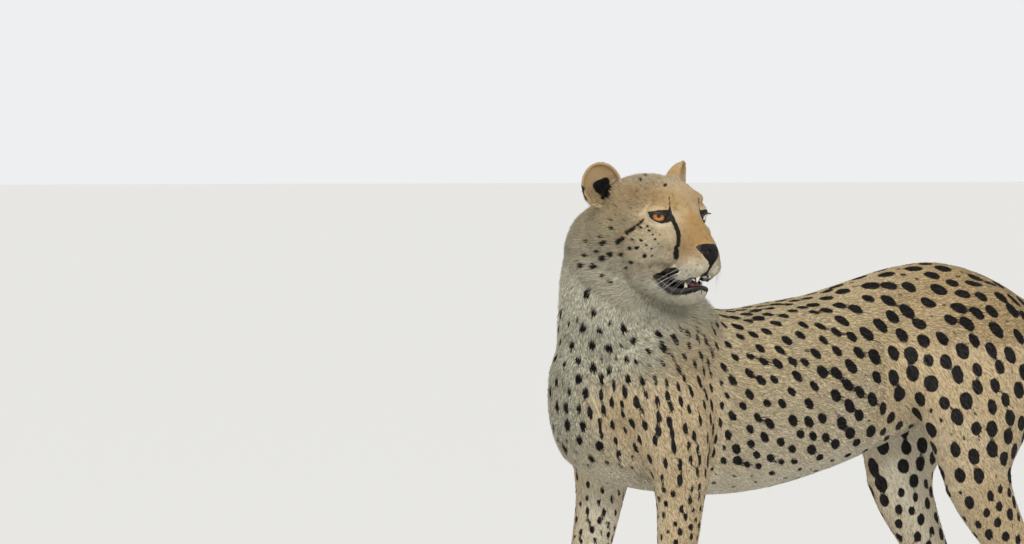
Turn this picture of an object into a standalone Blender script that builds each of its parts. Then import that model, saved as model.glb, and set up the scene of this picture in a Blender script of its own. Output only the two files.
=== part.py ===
"""A life-size standing cheetah with its head turned to its left, as a still model.

Metres, +Z up. The body faces -Y and its left side is +X. The solids give the outline of the coat.
The animal is modelled whole from lofted forms, fused by a voxel remesh, and then parted with thin cuts.
"""

import math

import bmesh
import bpy
import numpy as np
from mathutils import Matrix, Vector

# Driving sizes, in metres and degrees
GAP = 0.0004  # between neighbouring solids
VOXEL = 0.004  # grain of the fused body
CORE_VOXEL = 0.008  # grain of the trunk's own first fusing
HEAD_TRIANGLES = 7500  # the whole body at the head's fineness
PAW_TRIANGLES = 4400  # and at the paws'
BODY_TRIANGLES = 3050  # and at the trunk's
EYE_RADIUS = 0.0165
EYE_PLACE = Vector((-0.0080, 0.0385, 0.0000))  # middle of the left eyeball
BROW_POINT = Vector((0.134, -0.268, 0.878))  # midway between the eyes
HEAD_TURN = 101.0  # how far the face is turned to the left of the body
HEAD_NOD = 3.0  # how far the face is tipped down
STRIDE_TOP = 0.62  # above this height a leg keeps its neutral place
FORE_STRIDE = {"left": 0.000, "right": -0.120}  # how far back of its neutral place each foot stands
HIND_STRIDE = {"left": 0.050, "right": -0.060}
SIDES = {"left": 1.0, "right": -1.0}

# Trunk, from the breast to the rump: y, top, bottom, half width
TRUNK = [
    (-0.410, 0.650, 0.540, 0.036),  # breast bone
    (-0.388, 0.695, 0.492, 0.068),
    (-0.328, 0.718, 0.460, 0.093),
    (-0.250, 0.732, 0.444, 0.102),
    (-0.180, 0.739, 0.436, 0.104),  # withers
    (-0.110, 0.731, 0.437, 0.108),
    (-0.040, 0.741, 0.445, 0.111),  # rib cage
    (0.040, 0.753, 0.464, 0.108),
    (0.120, 0.775, 0.490, 0.099),  # loin
    (0.185, 0.793, 0.515, 0.090),
    (0.255, 0.802, 0.545, 0.087),  # croup
    (0.310, 0.796, 0.565, 0.083),
    (0.365, 0.778, 0.590, 0.073),
    (0.410, 0.756, 0.615, 0.056),
    (0.440, 0.734, 0.640, 0.034),
]
# Neck, from the head down to the shoulders: x, y, z, half width, half depth, twist in degrees
NECK = [
    (0.045, -0.285, 0.910, 0.045, 0.050, 101.0),
    (0.010, -0.290, 0.878, 0.082, 0.082, 95.0),
    (-0.004, -0.296, 0.838, 0.089, 0.086, 80.0),  # nape
    (-0.006, -0.298, 0.790, 0.093, 0.091, 60.0),
    (-0.003, -0.297, 0.745, 0.098, 0.098, 38.0),
    (0.000, -0.292, 0.695, 0.101, 0.109, 18.0),  # throat
    (0.000, -0.283, 0.640, 0.097, 0.117, 5.0),
    (0.000, -0.268, 0.590, 0.080, 0.100, 0.0),
]
# Left shoulder blade: x, y, z, half width, half depth
SHOULDER = [
    (0.044, -0.180, 0.745, 0.012, 0.030),
    (0.062, -0.202, 0.718, 0.030, 0.060),
    (0.080, -0.246, 0.672, 0.037, 0.076),
    (0.090, -0.292, 0.618, 0.039, 0.070),
    (0.092, -0.320, 0.578, 0.033, 0.052),  # point of the shoulder
    (0.090, -0.334, 0.550, 0.016, 0.024),
]
# Left foreleg, from the upper arm to the sole
FORELEG = [
    (0.070, -0.240, 0.690, 0.022, 0.035),
    (0.082, -0.252, 0.640, 0.034, 0.062),
    (0.094, -0.262, 0.580, 0.041, 0.075),
    (0.099, -0.256, 0.520, 0.039, 0.064),
    (0.098, -0.247, 0.470, 0.035, 0.050),  # elbow
    (0.095, -0.246, 0.430, 0.032, 0.041),
    (0.092, -0.248, 0.380, 0.030, 0.036),
    (0.089, -0.253, 0.320, 0.026, 0.030),
    (0.086, -0.258, 0.255, 0.0220, 0.0255),
    (0.084, -0.262, 0.205, 0.0210, 0.0240),
    (0.084, -0.264, 0.178, 0.0230, 0.0260),  # wrist
    (0.084, -0.266, 0.150, 0.0210, 0.0230),
    (0.083, -0.270, 0.105, 0.0200, 0.0210),
    (0.083, -0.276, 0.070, 0.0225, 0.0235),
    (0.083, -0.284, 0.045, 0.0275, 0.0285),
    (0.083, -0.290, 0.020, 0.0265, 0.0305),
]
FOREPAW = [
    (0.083, -0.246, 0.018, 0.014, 0.014),
    (0.083, -0.258, 0.022, 0.027, 0.024),
    (0.083, -0.285, 0.025, 0.034, 0.029),
    (0.083, -0.312, 0.022, 0.035, 0.025),
    (0.083, -0.330, 0.016, 0.027, 0.017),
]
# Left hind leg, from the croup to the sole
HINDLEG = [
    (0.050, 0.315, 0.762, 0.022, 0.050),
    (0.068, 0.312, 0.712, 0.038, 0.105),
    (0.083, 0.298, 0.645, 0.047, 0.142),  # thigh
    (0.091, 0.290, 0.575, 0.048, 0.120),
    (0.094, 0.282, 0.515, 0.044, 0.087),
    (0.095, 0.280, 0.465, 0.040, 0.063),  # knee
    (0.094, 0.293, 0.425, 0.035, 0.053),
    (0.092, 0.320, 0.375, 0.031, 0.043),
    (0.089, 0.354, 0.320, 0.0255, 0.034),
    (0.086, 0.386, 0.272, 0.0215, 0.0275),
    (0.084, 0.408, 0.235, 0.0210, 0.0290),  # hock
    (0.083, 0.415, 0.195, 0.0195, 0.0250),
    (0.082, 0.410, 0.150, 0.0185, 0.0215),
    (0.081, 0.402, 0.100, 0.0185, 0.0205),
    (0.080, 0.394, 0.065, 0.0215, 0.0230),
    (0.080, 0.386, 0.042, 0.0260, 0.0275),
    (0.080, 0.378, 0.020, 0.0255, 0.0295),
]
HINDPAW = [
    (0.080, 0.420, 0.017, 0.013, 0.013),
    (0.080, 0.408, 0.021, 0.025, 0.022),
    (0.080, 0.382, 0.024, 0.032, 0.027),
    (0.080, 0.354, 0.021, 0.033, 0.024),
    (0.080, 0.336, 0.015, 0.025, 0.016),
]
# Toes of a paw, from the inner one: offset across the paw, length past the knuckles
TOES = [(-0.0250, 0.017), (-0.0088, 0.028), (0.0088, 0.029), (0.0250, 0.019)]
TOE_RADIUS = 0.0115
# Knobs of bone under the skin of the left legs: centre, radii
FORE_KNOBS = [
    ((0.098, -0.218, 0.478), (0.024, 0.024, 0.034)),  # elbow
    ((0.085, -0.245, 0.168), (0.012, 0.011, 0.018)),  # wrist pad
]
HIND_KNOBS = [
    ((0.095, 0.248, 0.462), (0.030, 0.026, 0.040)),  # knee
    ((0.084, 0.424, 0.246), (0.015, 0.015, 0.026)),  # heel
]
# Tail, from its root to its tip: x, y, z, half width, half depth
TAIL = [
    (0.000, 0.395, 0.722, 0.034, 0.036),
    (0.000, 0.438, 0.700, 0.035, 0.036),
    (0.002, 0.484, 0.655, 0.030, 0.031),
    (0.006, 0.520, 0.585, 0.025, 0.026),
    (0.012, 0.540, 0.500, 0.0225, 0.0235),
    (0.017, 0.552, 0.415, 0.0215, 0.0225),
    (0.020, 0.568, 0.330, 0.0220, 0.0230),
    (0.021, 0.598, 0.255, 0.0240, 0.0250),
    (0.021, 0.648, 0.205, 0.0260, 0.0270),
    (0.020, 0.708, 0.195, 0.0265, 0.0275),
    (0.018, 0.760, 0.215, 0.0230, 0.0240),
    (0.016, 0.792, 0.240, 0.0120, 0.0130),
]

# Head, in its own frame: forward, left and up from midway between the eyes
# Skull and upper muzzle, from the nose back: forward, top, bottom, half width
SKULL = [
    (0.079, -0.050, -0.070, 0.010),
    (0.074, -0.041, -0.082, 0.021),  # nose
    (0.061, -0.028, -0.091, 0.028),
    (0.045, -0.012, -0.094, 0.031),
    (0.028, 0.008, -0.093, 0.032),
    (0.012, 0.032, -0.090, 0.036),  # brow
    (-0.004, 0.049, -0.088, 0.054),
    (-0.022, 0.055, -0.087, 0.066),
    (-0.050, 0.059, -0.087, 0.070),  # crown
    (-0.080, 0.060, -0.085, 0.074),
    (-0.110, 0.055, -0.078, 0.071),
    (-0.138, 0.040, -0.065, 0.058),
    (-0.158, 0.012, -0.045, 0.032),  # back of the skull
]
# Lower jaw, from the chin back: forward, top, bottom, half width
JAW = [
    (0.059, -0.112, -0.120, 0.008),
    (0.053, -0.106, -0.125, 0.018),  # chin
    (0.040, -0.103, -0.134, 0.024),
    (0.020, -0.098, -0.140, 0.031),
    (-0.005, -0.090, -0.139, 0.042),
    (-0.030, -0.080, -0.133, 0.052),
    (-0.058, -0.070, -0.125, 0.057),
    (-0.090, -0.060, -0.112, 0.050),
]
# Rounded forms on both sides of the head: centre, radii, each as forward, left, up
HEAD_BULGES = [
    ((-0.046, 0.044, -0.042), (0.052, 0.032, 0.048)),  # cheek
    ((0.046, 0.021, -0.076), (0.025, 0.019, 0.021)),  # whisker pad
    ((-0.004, 0.0365, 0.0255), (0.0165, 0.0215, 0.0145)),  # brow ridge
    ((-0.086, 0.040, 0.016), (0.042, 0.031, 0.036)),  # ear root
    ((-0.100, 0.055, -0.045), (0.050, 0.034, 0.058)),  # ruff
    ((0.068, 0.010, -0.053), (0.0155, 0.0165, 0.0155)),  # nostril
    ((0.000, 0.042, -0.032), (0.018, 0.019, 0.021)),  # cheek bone below the eye
]
EAR_PLACE = {"left": Vector((-0.083, 0.077, 0.041)), "right": Vector((-0.100, -0.076, 0.038))}
EAR_RADII = (0.016, 0.032, 0.038)  # depth, half width, half height
EAR_SPLAY = 40.0  # how far the ear's opening faces outward
EAR_LEAN = {"left": 4.0, "right": 12.0}  # how far the ear leans out from upright

# Where the head and its parts are cut, in its own frame: middle, half sizes, tilt about the side axis
HEAD_BOX = ((0.020, 0.0, 0.030), (0.140, 0.160, 0.190), 32.0)
JAW_BOX = ((0.0600, 0.0, -0.0290), (0.0600, 0.0700, 0.0290), 7.0)  # from the corner of the mouth
EAR_BOX = ((-0.100, 0.116, 0.070), (0.055, 0.060, 0.075), 0.0)
EAR_BOX_ROLL = 44.0
MOUTH_CORNER = Vector((-0.012, 0.0, -0.0955))
MOUTH_ANGLES = (1.0, 13.0)  # how far the upper and the lower lip fall, going forward
NOSE_BOX = ((0.0745, 0.0, -0.0590), (0.0150, 0.0245, 0.0170))
MOUTH_ROOM = ((0.018, 0.0, -0.100), (0.040, 0.019, 0.015))  # hollow behind the lips: middle, radii
CANINES = ((0.054, 0.0165, -0.088), (0.052, 0.0135, -0.115))  # root of the upper left and the lower left one
CANINE_LENGTH = 0.014
CANINE_RADIUS = 0.0036
INCISORS = ((0.061, 0.0, -0.091), (0.055, 0.0, -0.112))  # middle of the upper and the lower row
INCISOR_HALF = (0.0025, 0.0085, 0.0050)
CLAW_LENGTH = 0.015
CLAW_RADIUS = 0.0034
SOLE = 0.004  # height at which the feet are cut flat
PAW_TOP = 0.076
# Cuts across a leg: height, tilt in degrees, place along the body
FORE_CUTS = [(0.455, 0.0, -0.246)]
HIND_CUTS = [(0.440, 24.0, 0.285), (0.232, -25.0, 0.408)]
TAIL_ROOT = (Vector((0.006, 0.458, 0.690)), -17.5)
TAIL_CUTS = [(0.500, 8.0, 0.540), (0.262, 40.0, 0.594)]
NECK_CUT = (Vector((0.0, -0.290, 0.690)), -18.0)  # a point on the cut, and its tilt
WAIST = Vector((0.0, 0.060, 0.600))
FORELEG_BOX = ((0.158, -0.330, 0.300), (0.100, 0.165, 0.325))  # around the left leg: middle, half sizes
HINDLEG_BOX = ((0.146, 0.360, 0.320), (0.100, 0.240, 0.352))
TONGUE = ((0.014, 0.0, -0.1040), (0.034, 0.0125, 0.0060), 9.0)  # middle, radii, tilt
MATERIALS = {  # by the start of a part's name: slot, base colour, roughness
    "head": ("tan_coat", (0.56, 0.40, 0.22), 0.9),
    "lower_jaw": ("white_coat", (0.75, 0.70, 0.62), 0.9),
    "nose": ("nose_skin", (0.02, 0.015, 0.015), 0.5),
    "eye": ("eyeball", (0.55, 0.22, 0.04), 0.05),
    "ear": ("tan_coat", (0.50, 0.38, 0.24), 0.9),
    "tongue": ("tongue_skin", (0.55, 0.20, 0.20), 0.4),
    "claw": ("horn", (0.08, 0.06, 0.05), 0.4),
    "": ("tan_coat", (0.56, 0.40, 0.22), 0.9),
}


def catmull_rom(rows, steps):
    """Rows of numbers along a path, with steps rows made for each stretch between two of them."""
    rows = np.array(rows, float)
    ends = np.vstack([2 * rows[0] - rows[1], rows, 2 * rows[-1] - rows[-2]])
    made = []
    for i in range(len(rows) - 1):
        a, b, c, d = ends[i : i + 4]
        for t in np.arange(steps) / steps:
            made.append(
                0.5 * (2 * b + (c - a) * t + (2 * a - 5 * b + 4 * c - d) * t**2 + (3 * b - a - 3 * c + d) * t**3)
            )
    return np.array(made + [rows[-1]])


def tube(name, centres, across, upward, segments=20):
    """A closed loft: one ring for each centre, with across and upward as its half axes."""
    rings = len(centres)
    bm = bmesh.new()
    bmesh.ops.create_cone(bm, cap_ends=True, segments=segments, radius1=1, radius2=1, depth=2)
    rails = [e for e in bm.edges if abs(e.verts[0].co.z - e.verts[1].co.z) > 1]
    bmesh.ops.subdivide_edges(bm, edges=rails, cuts=rings - 2)
    for v in bm.verts:
        ring = round((v.co.z + 1) / 2 * (rings - 1))
        turn = math.atan2(v.co.y, v.co.x)
        v.co = centres[ring] + math.cos(turn) * across[ring] + math.sin(turn) * upward[ring]
    bmesh.ops.recalc_face_normals(bm, faces=bm.faces)
    return finished(name, bm)


def finished(name, bm):
    """The bmesh as an object in the scene."""
    mesh = bpy.data.meshes.new(name)
    bm.to_mesh(mesh)
    bm.free()
    obj = bpy.data.objects.new(name, mesh)
    bpy.context.scene.collection.objects.link(obj)
    return obj


def limb(name, stations, side=1.0, stride=0.0, steps=4):
    """A leg, paw or tail: stations of x, y, z, half width and half depth. The foot stands stride further back."""
    rows = catmull_rom(stations, steps)
    reach = np.clip(1 - rows[:, 2] / STRIDE_TOP, 0, 1)
    places = np.stack([rows[:, 0] * side, rows[:, 1] + stride * reach, rows[:, 2]], axis=1)
    run = np.gradient(places, axis=0)
    centres, across, upward = [], [], []
    for place, way, row in zip(places, run, rows):
        way = Vector(way).normalized()
        depth = way.cross(Vector((1, 0, 0))).normalized()
        centres.append(Vector(place))
        across.append(depth.cross(way).normalized() * row[3])
        upward.append(depth * row[4])
    return tube(name, centres, across, upward)


def slab(name, stations, matrix, along, steps=4, segments=28):
    """A loft along one axis, of stations of place, top, bottom and half width, moved by matrix."""
    rows = catmull_rom(stations, steps)
    turn = matrix.to_3x3()
    across_axis = Vector((0, 1, 0)) if along.x else Vector((1, 0, 0))
    centres = [matrix @ (along * r[0] + Vector((0, 0, (r[1] + r[2]) / 2))) for r in rows]
    across = [turn @ across_axis * r[3] for r in rows]
    upward = [turn @ Vector((0, 0, (r[1] - r[2]) / 2)) for r in rows]
    return tube(name, centres, across, upward, segments)


def ball_mesh(centre, radii, matrix, grown=0.0, detail=3):
    """An ellipsoid, moved by matrix."""
    bm = bmesh.new()
    bmesh.ops.create_icosphere(bm, subdivisions=detail, radius=1)
    sizes = Matrix.Diagonal((*[r + grown for r in radii], 1))
    bmesh.ops.transform(bm, matrix=matrix @ Matrix.Translation(centre) @ sizes, verts=bm.verts)
    return bm


def ball(name, centre, radii, matrix):
    return finished(name, ball_mesh(centre, radii, matrix))


def head_matrix():
    """From the head's own frame, forward, left and up, to the body's."""
    turn = Matrix.Rotation(math.radians(HEAD_TURN - 90), 4, "Z")
    nod = Matrix.Rotation(math.radians(HEAD_NOD), 4, "Y")
    return Matrix.Translation(BROW_POINT) @ turn @ nod


def neck():
    rows = catmull_rom(NECK, 4)
    centres, across, upward = [], [], []
    for x, y, z, width, depth, twist in rows:
        turn = math.radians(twist)
        centres.append(Vector((x, y, z)))
        across.append(Vector((math.cos(turn), math.sin(turn), 0)) * width)
        upward.append(Vector((math.sin(turn), -math.cos(turn), 0)) * depth)
    return tube("neck_form", centres, across, upward, 28)


def ear(name, matrix):
    """A rounded cup: the front half of a ball is folded back into its hollow."""
    side = SIDES[name]
    bm = bmesh.new()
    bmesh.ops.create_uvsphere(bm, u_segments=24, v_segments=16, radius=1)
    for v in bm.verts:
        if v.co.x > 0:
            v.co.x = -0.45 * v.co.x
    lean = Matrix.Rotation(math.radians(-EAR_LEAN[name] * side), 4, "X")
    splay = Matrix.Rotation(math.radians(EAR_SPLAY * side), 4, "Z")
    place = Matrix.Translation(EAR_PLACE[name])
    shape = Matrix.Diagonal((2 * EAR_RADII[0], EAR_RADII[1], EAR_RADII[2], 1))
    bmesh.ops.transform(bm, matrix=matrix @ place @ lean @ splay @ shape, verts=bm.verts)
    bmesh.ops.recalc_face_normals(bm, faces=bm.faces)
    return finished("ear_form", bm)


def toes(paw, side, stride):
    """Four toes at the front of a paw."""
    x, y, z = paw[-2][:3]
    made = []
    for offset, length in TOES:
        path = [
            (x + offset * 0.8, y + 0.020, 0.020, TOE_RADIUS * 0.8, TOE_RADIUS * 0.8),
            (x + offset * 0.95, y - length * 0.2, 0.0225, TOE_RADIUS, TOE_RADIUS * 1.1),
            (x + offset, y - length * 0.8, 0.017, TOE_RADIUS, TOE_RADIUS * 1.15),
            (x + offset, y - length * 1.25, 0.012, TOE_RADIUS * 0.75, TOE_RADIUS * 0.7),
        ]
        made.append(limb("toe_form", path, side, stride))
    return made


def evaluated(obj):
    """The object's mesh as its modifiers leave it, as a bmesh."""
    bpy.context.view_layer.update()
    shown = obj.evaluated_get(bpy.context.evaluated_depsgraph_get())
    bm = bmesh.new()
    bm.from_mesh(shown.data)
    return bm


def settled(obj):
    """The object with its modifiers made part of its mesh."""
    bm = evaluated(obj)
    obj.modifiers.clear()
    bm.to_mesh(obj.data)
    bm.free()
    return obj


def fuse(name, objects, voxel, smoothing):
    """One closed mesh of these forms, with the creases between them softened."""
    bm = bmesh.new()
    for obj in objects:
        bm.from_mesh(obj.data)
        bpy.data.objects.remove(obj)
    whole = finished(name, bm)
    remesh = whole.modifiers.new("fuse", "REMESH")
    remesh.mode = "VOXEL"
    remesh.voxel_size = voxel
    soften = whole.modifiers.new("soften", "SMOOTH")
    soften.factor = 0.5
    soften.iterations = smoothing
    return settled(whole)


def knobs(rows, side, stride):
    """Balls on a leg, moved with its stride."""
    made = []
    for centre, radii in rows:
        reach = max(0.0, 1 - centre[2] / STRIDE_TOP)
        place = Vector((centre[0] * side, centre[1] + stride * reach, centre[2]))
        made.append(ball("knob_form", place, radii, Matrix.Identity(4)))
    return made


def core_forms():
    """The trunk with the neck and the thick upper ends of the legs."""
    forms = [slab("trunk_form", TRUNK, Matrix.Identity(4), Vector((0, 1, 0))), neck(), limb("tail_form", TAIL[:5])]
    for name, side in SIDES.items():
        forms.append(limb("shoulder_form", SHOULDER, side))
        forms.append(limb("foreleg_form", FORELEG[:6], side, FORE_STRIDE[name]))
        forms.append(limb("hindleg_form", HINDLEG[:7], side, HIND_STRIDE[name]))
    return forms


def leg_forms():
    forms = [limb("tail_form", TAIL[2:])]
    for name, side in SIDES.items():
        fore, hind = FORE_STRIDE[name], HIND_STRIDE[name]
        forms.append(limb("foreleg_form", FORELEG[4:], side, fore))
        forms.append(limb("hindleg_form", HINDLEG[5:], side, hind))
        forms.extend(knobs(FORE_KNOBS, side, fore))
        forms.extend(knobs(HIND_KNOBS, side, hind))
        for paw, stride in ((FOREPAW, fore), (HINDPAW, hind)):
            forms.append(limb("paw_form", paw, side, stride))
            forms.extend(toes(paw, side, stride))
    return forms


def head_forms():
    matrix = head_matrix()
    forward = Vector((1, 0, 0))
    forms = [slab("skull_form", SKULL, matrix, forward), slab("jaw_form", JAW, matrix, forward)]
    for side in SIDES.values():
        for (ahead, out, up), radii in HEAD_BULGES:
            forms.append(ball("bulge_form", Vector((ahead, out * side, up)), radii, matrix))
    return forms


def reduced(whole, triangles):
    """A copy of the whole body with about this many triangles."""
    copy = bpy.data.objects.new(whole.name + "_copy", whole.data.copy())
    bpy.context.scene.collection.objects.link(copy)
    whole.data.calc_loop_triangles()
    thin = copy.modifiers.new("thin", "DECIMATE")
    thin.ratio = triangles / len(whole.data.loop_triangles)
    thin.use_collapse_triangulate = True
    return settled(copy)


def cutter(name, bm):
    """A cutting body, kept out of the render."""
    obj = finished(name, bm)
    bpy.context.scene.collection.objects.unlink(obj)
    bpy.data.collections["cutters"].objects.link(obj)
    obj.hide_render = True
    obj.display_type = "WIRE"
    return obj


def box(name, middle, half_sizes, matrix, grown=0.0):
    bm = bmesh.new()
    bmesh.ops.create_cube(bm, size=2)
    sizes = Matrix.Diagonal((*[h + grown for h in half_sizes], 1))
    bmesh.ops.transform(bm, matrix=matrix @ Matrix.Translation(middle) @ sizes, verts=bm.verts)
    return cutter(name, bm)


def combined(obj, other, operation):
    """The object joined with, cut by or kept inside another."""
    change = obj.modifiers.new(operation.lower(), "BOOLEAN")
    change.operation = operation
    change.solver = "EXACT"
    change.object = other
    return settled(obj)


def copied(obj, name):
    copy = bpy.data.objects.new(name, obj.data.copy())
    bpy.context.scene.collection.objects.link(copy)
    return copy


def without_specks(obj):
    """The object's largest body. A cut can leave specks beside it."""
    bm = bmesh.new()
    bm.from_mesh(obj.data)
    left = set(bm.verts)
    bodies = []
    while left:
        body = set()
        reached = [left.pop()]
        while reached:
            v = reached.pop()
            body.add(v)
            near = [e.other_vert(v) for e in v.link_edges]
            reached.extend(w for w in near if w in left)
            left.difference_update(near)
        bodies.append(body)
    largest = max(bodies, key=len)
    bmesh.ops.delete(bm, geom=[v for v in bm.verts if v not in largest], context="VERTS")
    bm.to_mesh(obj.data)
    bm.free()
    return obj


def parted(whole, name, middle, half_sizes, matrix, source=None):
    """The piece of the whole, or of a finer source, inside a box. The whole loses it and the gap around it."""
    piece = copied(source or whole, name)
    combined(piece, box(name + "_cutter", middle, half_sizes, matrix), "INTERSECT")
    combined(whole, box(name + "_gap_cutter", middle, half_sizes, matrix, GAP), "DIFFERENCE")
    without_specks(whole)
    return without_specks(piece)


def leg_matrix(height, tilt, place, side, stride):
    """A frame across a leg at this height, moved with the leg's stride."""
    reach = max(0.0, 1 - height / STRIDE_TOP)
    turn = Matrix.Rotation(math.radians(tilt), 4, "X")
    return Matrix.Translation((0.088 * side, place + stride * reach, height)) @ turn


def lower_lengths(leg, names, cuts, side, stride):
    """A leg parted from the top down at its cuts."""
    pieces = []
    for name, (height, tilt, place) in zip(names, cuts):
        matrix = leg_matrix(height, tilt, place, side, stride)
        pieces.append(parted(leg, name, Vector((0, 0, -height)), Vector((0.080, 0.250, height)), matrix))
        leg = pieces[-1]
    return pieces


def paw(rest, feet, name, stations, side, stride):
    """The paw, from the body at the paws' fineness."""
    middle = Vector((stations[2][0] * side, stations[2][1] + stride, 0.0))
    return parted(rest, name, middle, Vector((0.070, 0.130, PAW_TOP)), Matrix.Identity(4), feet)


def claws(foot, stations, side, stride):
    """A claw at the end of each toe. The foot is hollowed for its root."""
    x, y, z = stations[-2][:3]
    made = []
    for i, (offset, length) in enumerate(TOES, 1):
        root = Vector(((x + offset) * side, y - length * 1.05 + stride * 0.97, 0.0165))
        turn = Vector((0, -0.88, -0.35)).to_track_quat("Z", "Y").to_matrix().to_4x4()
        matrix = Matrix.Translation(root) @ turn
        shapes = []
        for grown in (0.0, GAP):
            bm = bmesh.new()
            bmesh.ops.create_cone(
                bm,
                cap_ends=True,
                segments=6,
                radius1=CLAW_RADIUS + grown,
                radius2=CLAW_RADIUS * 0.15 + grown,
                depth=CLAW_LENGTH + 2 * grown,
            )
            bmesh.ops.transform(bm, matrix=matrix @ Matrix.Translation((0, 0, CLAW_LENGTH * 0.28)), verts=bm.verts)
            shapes.append(bm)
        combined(foot, cutter(f"{foot.name}_claw_{i}_cutter", shapes[1]), "DIFFERENCE")
        made.append(finished(f"{foot.name}_claw_{i}", shapes[0]))
    return made


def tooth(name, place, length, radius, matrix, down):
    """A cone with its root at place, pointing down or up."""
    bm = bmesh.new()
    bmesh.ops.create_cone(bm, cap_ends=True, segments=8, radius1=radius, radius2=radius * 0.25, depth=length)
    turn = Matrix.Rotation(math.pi, 4, "X") if down else Matrix.Identity(4)
    shift = Matrix.Translation((0, 0, length / 2))
    bmesh.ops.transform(bm, matrix=matrix @ Matrix.Translation(place) @ turn @ shift, verts=bm.verts)
    return cutter(name, bm)


def toothed(obj, row, matrix):
    """The upper (row 0) or the lower (row 1) jaw joined with its canines and its row of small front teeth."""
    down = row == 0
    for name, side in SIDES.items():
        ahead, out, up = CANINES[row]
        one = tooth(
            f"{obj.name}_canine_{name}", Vector((ahead, out * side, up)), CANINE_LENGTH, CANINE_RADIUS, matrix, down
        )
        combined(obj, one, "UNION")
    combined(obj, box(f"{obj.name}_incisors", Vector(INCISORS[row]), INCISOR_HALF, matrix), "UNION")


def tilted(matrix, middle, tilt, roll=0.0):
    """A frame at a middle in the head's frame, tilted about its side axis and rolled about its forward one."""
    turn = Matrix.Rotation(math.radians(tilt), 4, "Y") @ Matrix.Rotation(math.radians(roll), 4, "X")
    return matrix @ Matrix.Translation(middle) @ turn


def mouth_gap(matrix):
    """The wedge between the lips."""
    bm = bmesh.new()
    bmesh.ops.create_cube(bm, size=1)
    for v in bm.verts:
        ahead = 0.0 if v.co.x < 0 else 0.100
        angle = MOUTH_ANGLES[0] if v.co.z > 0 else MOUTH_ANGLES[1]
        half = 0.0002 if v.co.z > 0 else -0.0002
        up = MOUTH_CORNER.z + half - math.tan(math.radians(angle)) * ahead
        v.co = Vector((MOUTH_CORNER.x + ahead, v.co.y * 0.2, up))
    bmesh.ops.transform(bm, matrix=matrix, verts=bm.verts)
    return cutter("mouth_gap_cutter", bm)


def eyes(head, matrix):
    """Two balls, set into hollows of the head."""
    made = []
    for name, side in SIDES.items():
        place = Vector((EYE_PLACE.x, EYE_PLACE.y * side, EYE_PLACE.z))
        for grown in (GAP, 0.0):
            bm = bmesh.new()
            bmesh.ops.create_uvsphere(bm, u_segments=12, v_segments=8, radius=EYE_RADIUS + grown)
            bmesh.ops.transform(bm, matrix=matrix @ Matrix.Translation(place), verts=bm.verts)
            if grown:
                combined(head, cutter(f"eye_{name}_cutter", bm), "DIFFERENCE")
            else:
                made.append(finished(f"eye_{name}", bm))
    return made


def mouth_parts(head, jaw, matrix):
    """The teeth joined to the jaws they grow from, and the tongue, set into a hollow of the lower jaw."""
    room = cutter("mouth_room_cutter", ball_mesh(Vector(MOUTH_ROOM[0]), MOUTH_ROOM[1], matrix, 0.0, 2))
    for row, obj in enumerate((head, jaw)):
        combined(obj, room, "DIFFERENCE")
        without_specks(obj)
        toothed(obj, row, matrix)
    place, radii, tilt = TONGUE
    frame = tilted(matrix, Vector(place), tilt)
    zero = Vector((0, 0, 0))
    tongue = finished("tongue", ball_mesh(zero, radii, frame, detail=2))
    gap = cutter("tongue_cutter", ball_mesh(zero, radii, frame, GAP, 2))
    combined(jaw, gap, "DIFFERENCE")
    combined(head, gap, "DIFFERENCE")
    return [tongue]


def neck_frame():
    """A frame on the plane between the neck and the shoulders."""
    return Matrix.Translation(NECK_CUT[0]) @ Matrix.Rotation(math.radians(NECK_CUT[1]), 4, "X")


def head_parts(fine, rest):
    """The head with its ears, jaw, nose, eyes, teeth and tongue."""
    matrix = head_matrix()
    zero = Vector((0, 0, 0))
    middle, half, tilt = HEAD_BOX
    head = parted(rest, "head", zero, half, tilted(matrix, middle, tilt), fine)
    ears = []
    for name, side in SIDES.items():
        middle, half, tilt = EAR_BOX
        place = Vector((middle[0], middle[1] * side, middle[2]))
        frame = tilted(matrix, place, tilt, EAR_BOX_ROLL * side)
        ears.append(parted(head, f"ear_{name}", zero, half, frame))
    nose = copied(head, "nose_pad")
    middle, radii = NOSE_BOX
    combined(nose, cutter("nose_cutter", ball_mesh(Vector(middle), radii, matrix, 0.0, 2)), "INTERSECT")
    combined(head, cutter("nose_gap_cutter", ball_mesh(Vector(middle), radii, matrix, GAP, 2)), "DIFFERENCE")
    combined(head, mouth_gap(matrix), "DIFFERENCE")
    middle, half, tilt = JAW_BOX
    jaw = parted(head, "lower_jaw", Vector(middle), half, tilted(matrix, MOUTH_CORNER, tilt))
    return [head, jaw, nose, *ears, *eyes(head, matrix), *mouth_parts(head, jaw, matrix)]


def foreleg_parts(rest, name, side):
    middle, half = FORELEG_BOX
    place = Vector((middle[0] * side, middle[1], middle[2]))
    upper = parted(rest, f"upper_foreleg_{name}", place, half, Matrix.Identity(4))
    return [upper, *lower_lengths(upper, [f"forearm_{name}"], FORE_CUTS, side, FORE_STRIDE[name])]


def hindleg_parts(rest, name, side):
    middle, half = HINDLEG_BOX
    place = Vector((middle[0] * side, middle[1], middle[2]))
    thigh = parted(rest, f"thigh_{name}", place, half, Matrix.Identity(4))
    names = [f"shank_{name}", f"hind_foot_{name}"]
    return [thigh, *lower_lengths(thigh, names, HIND_CUTS, side, HIND_STRIDE[name])]


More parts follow.
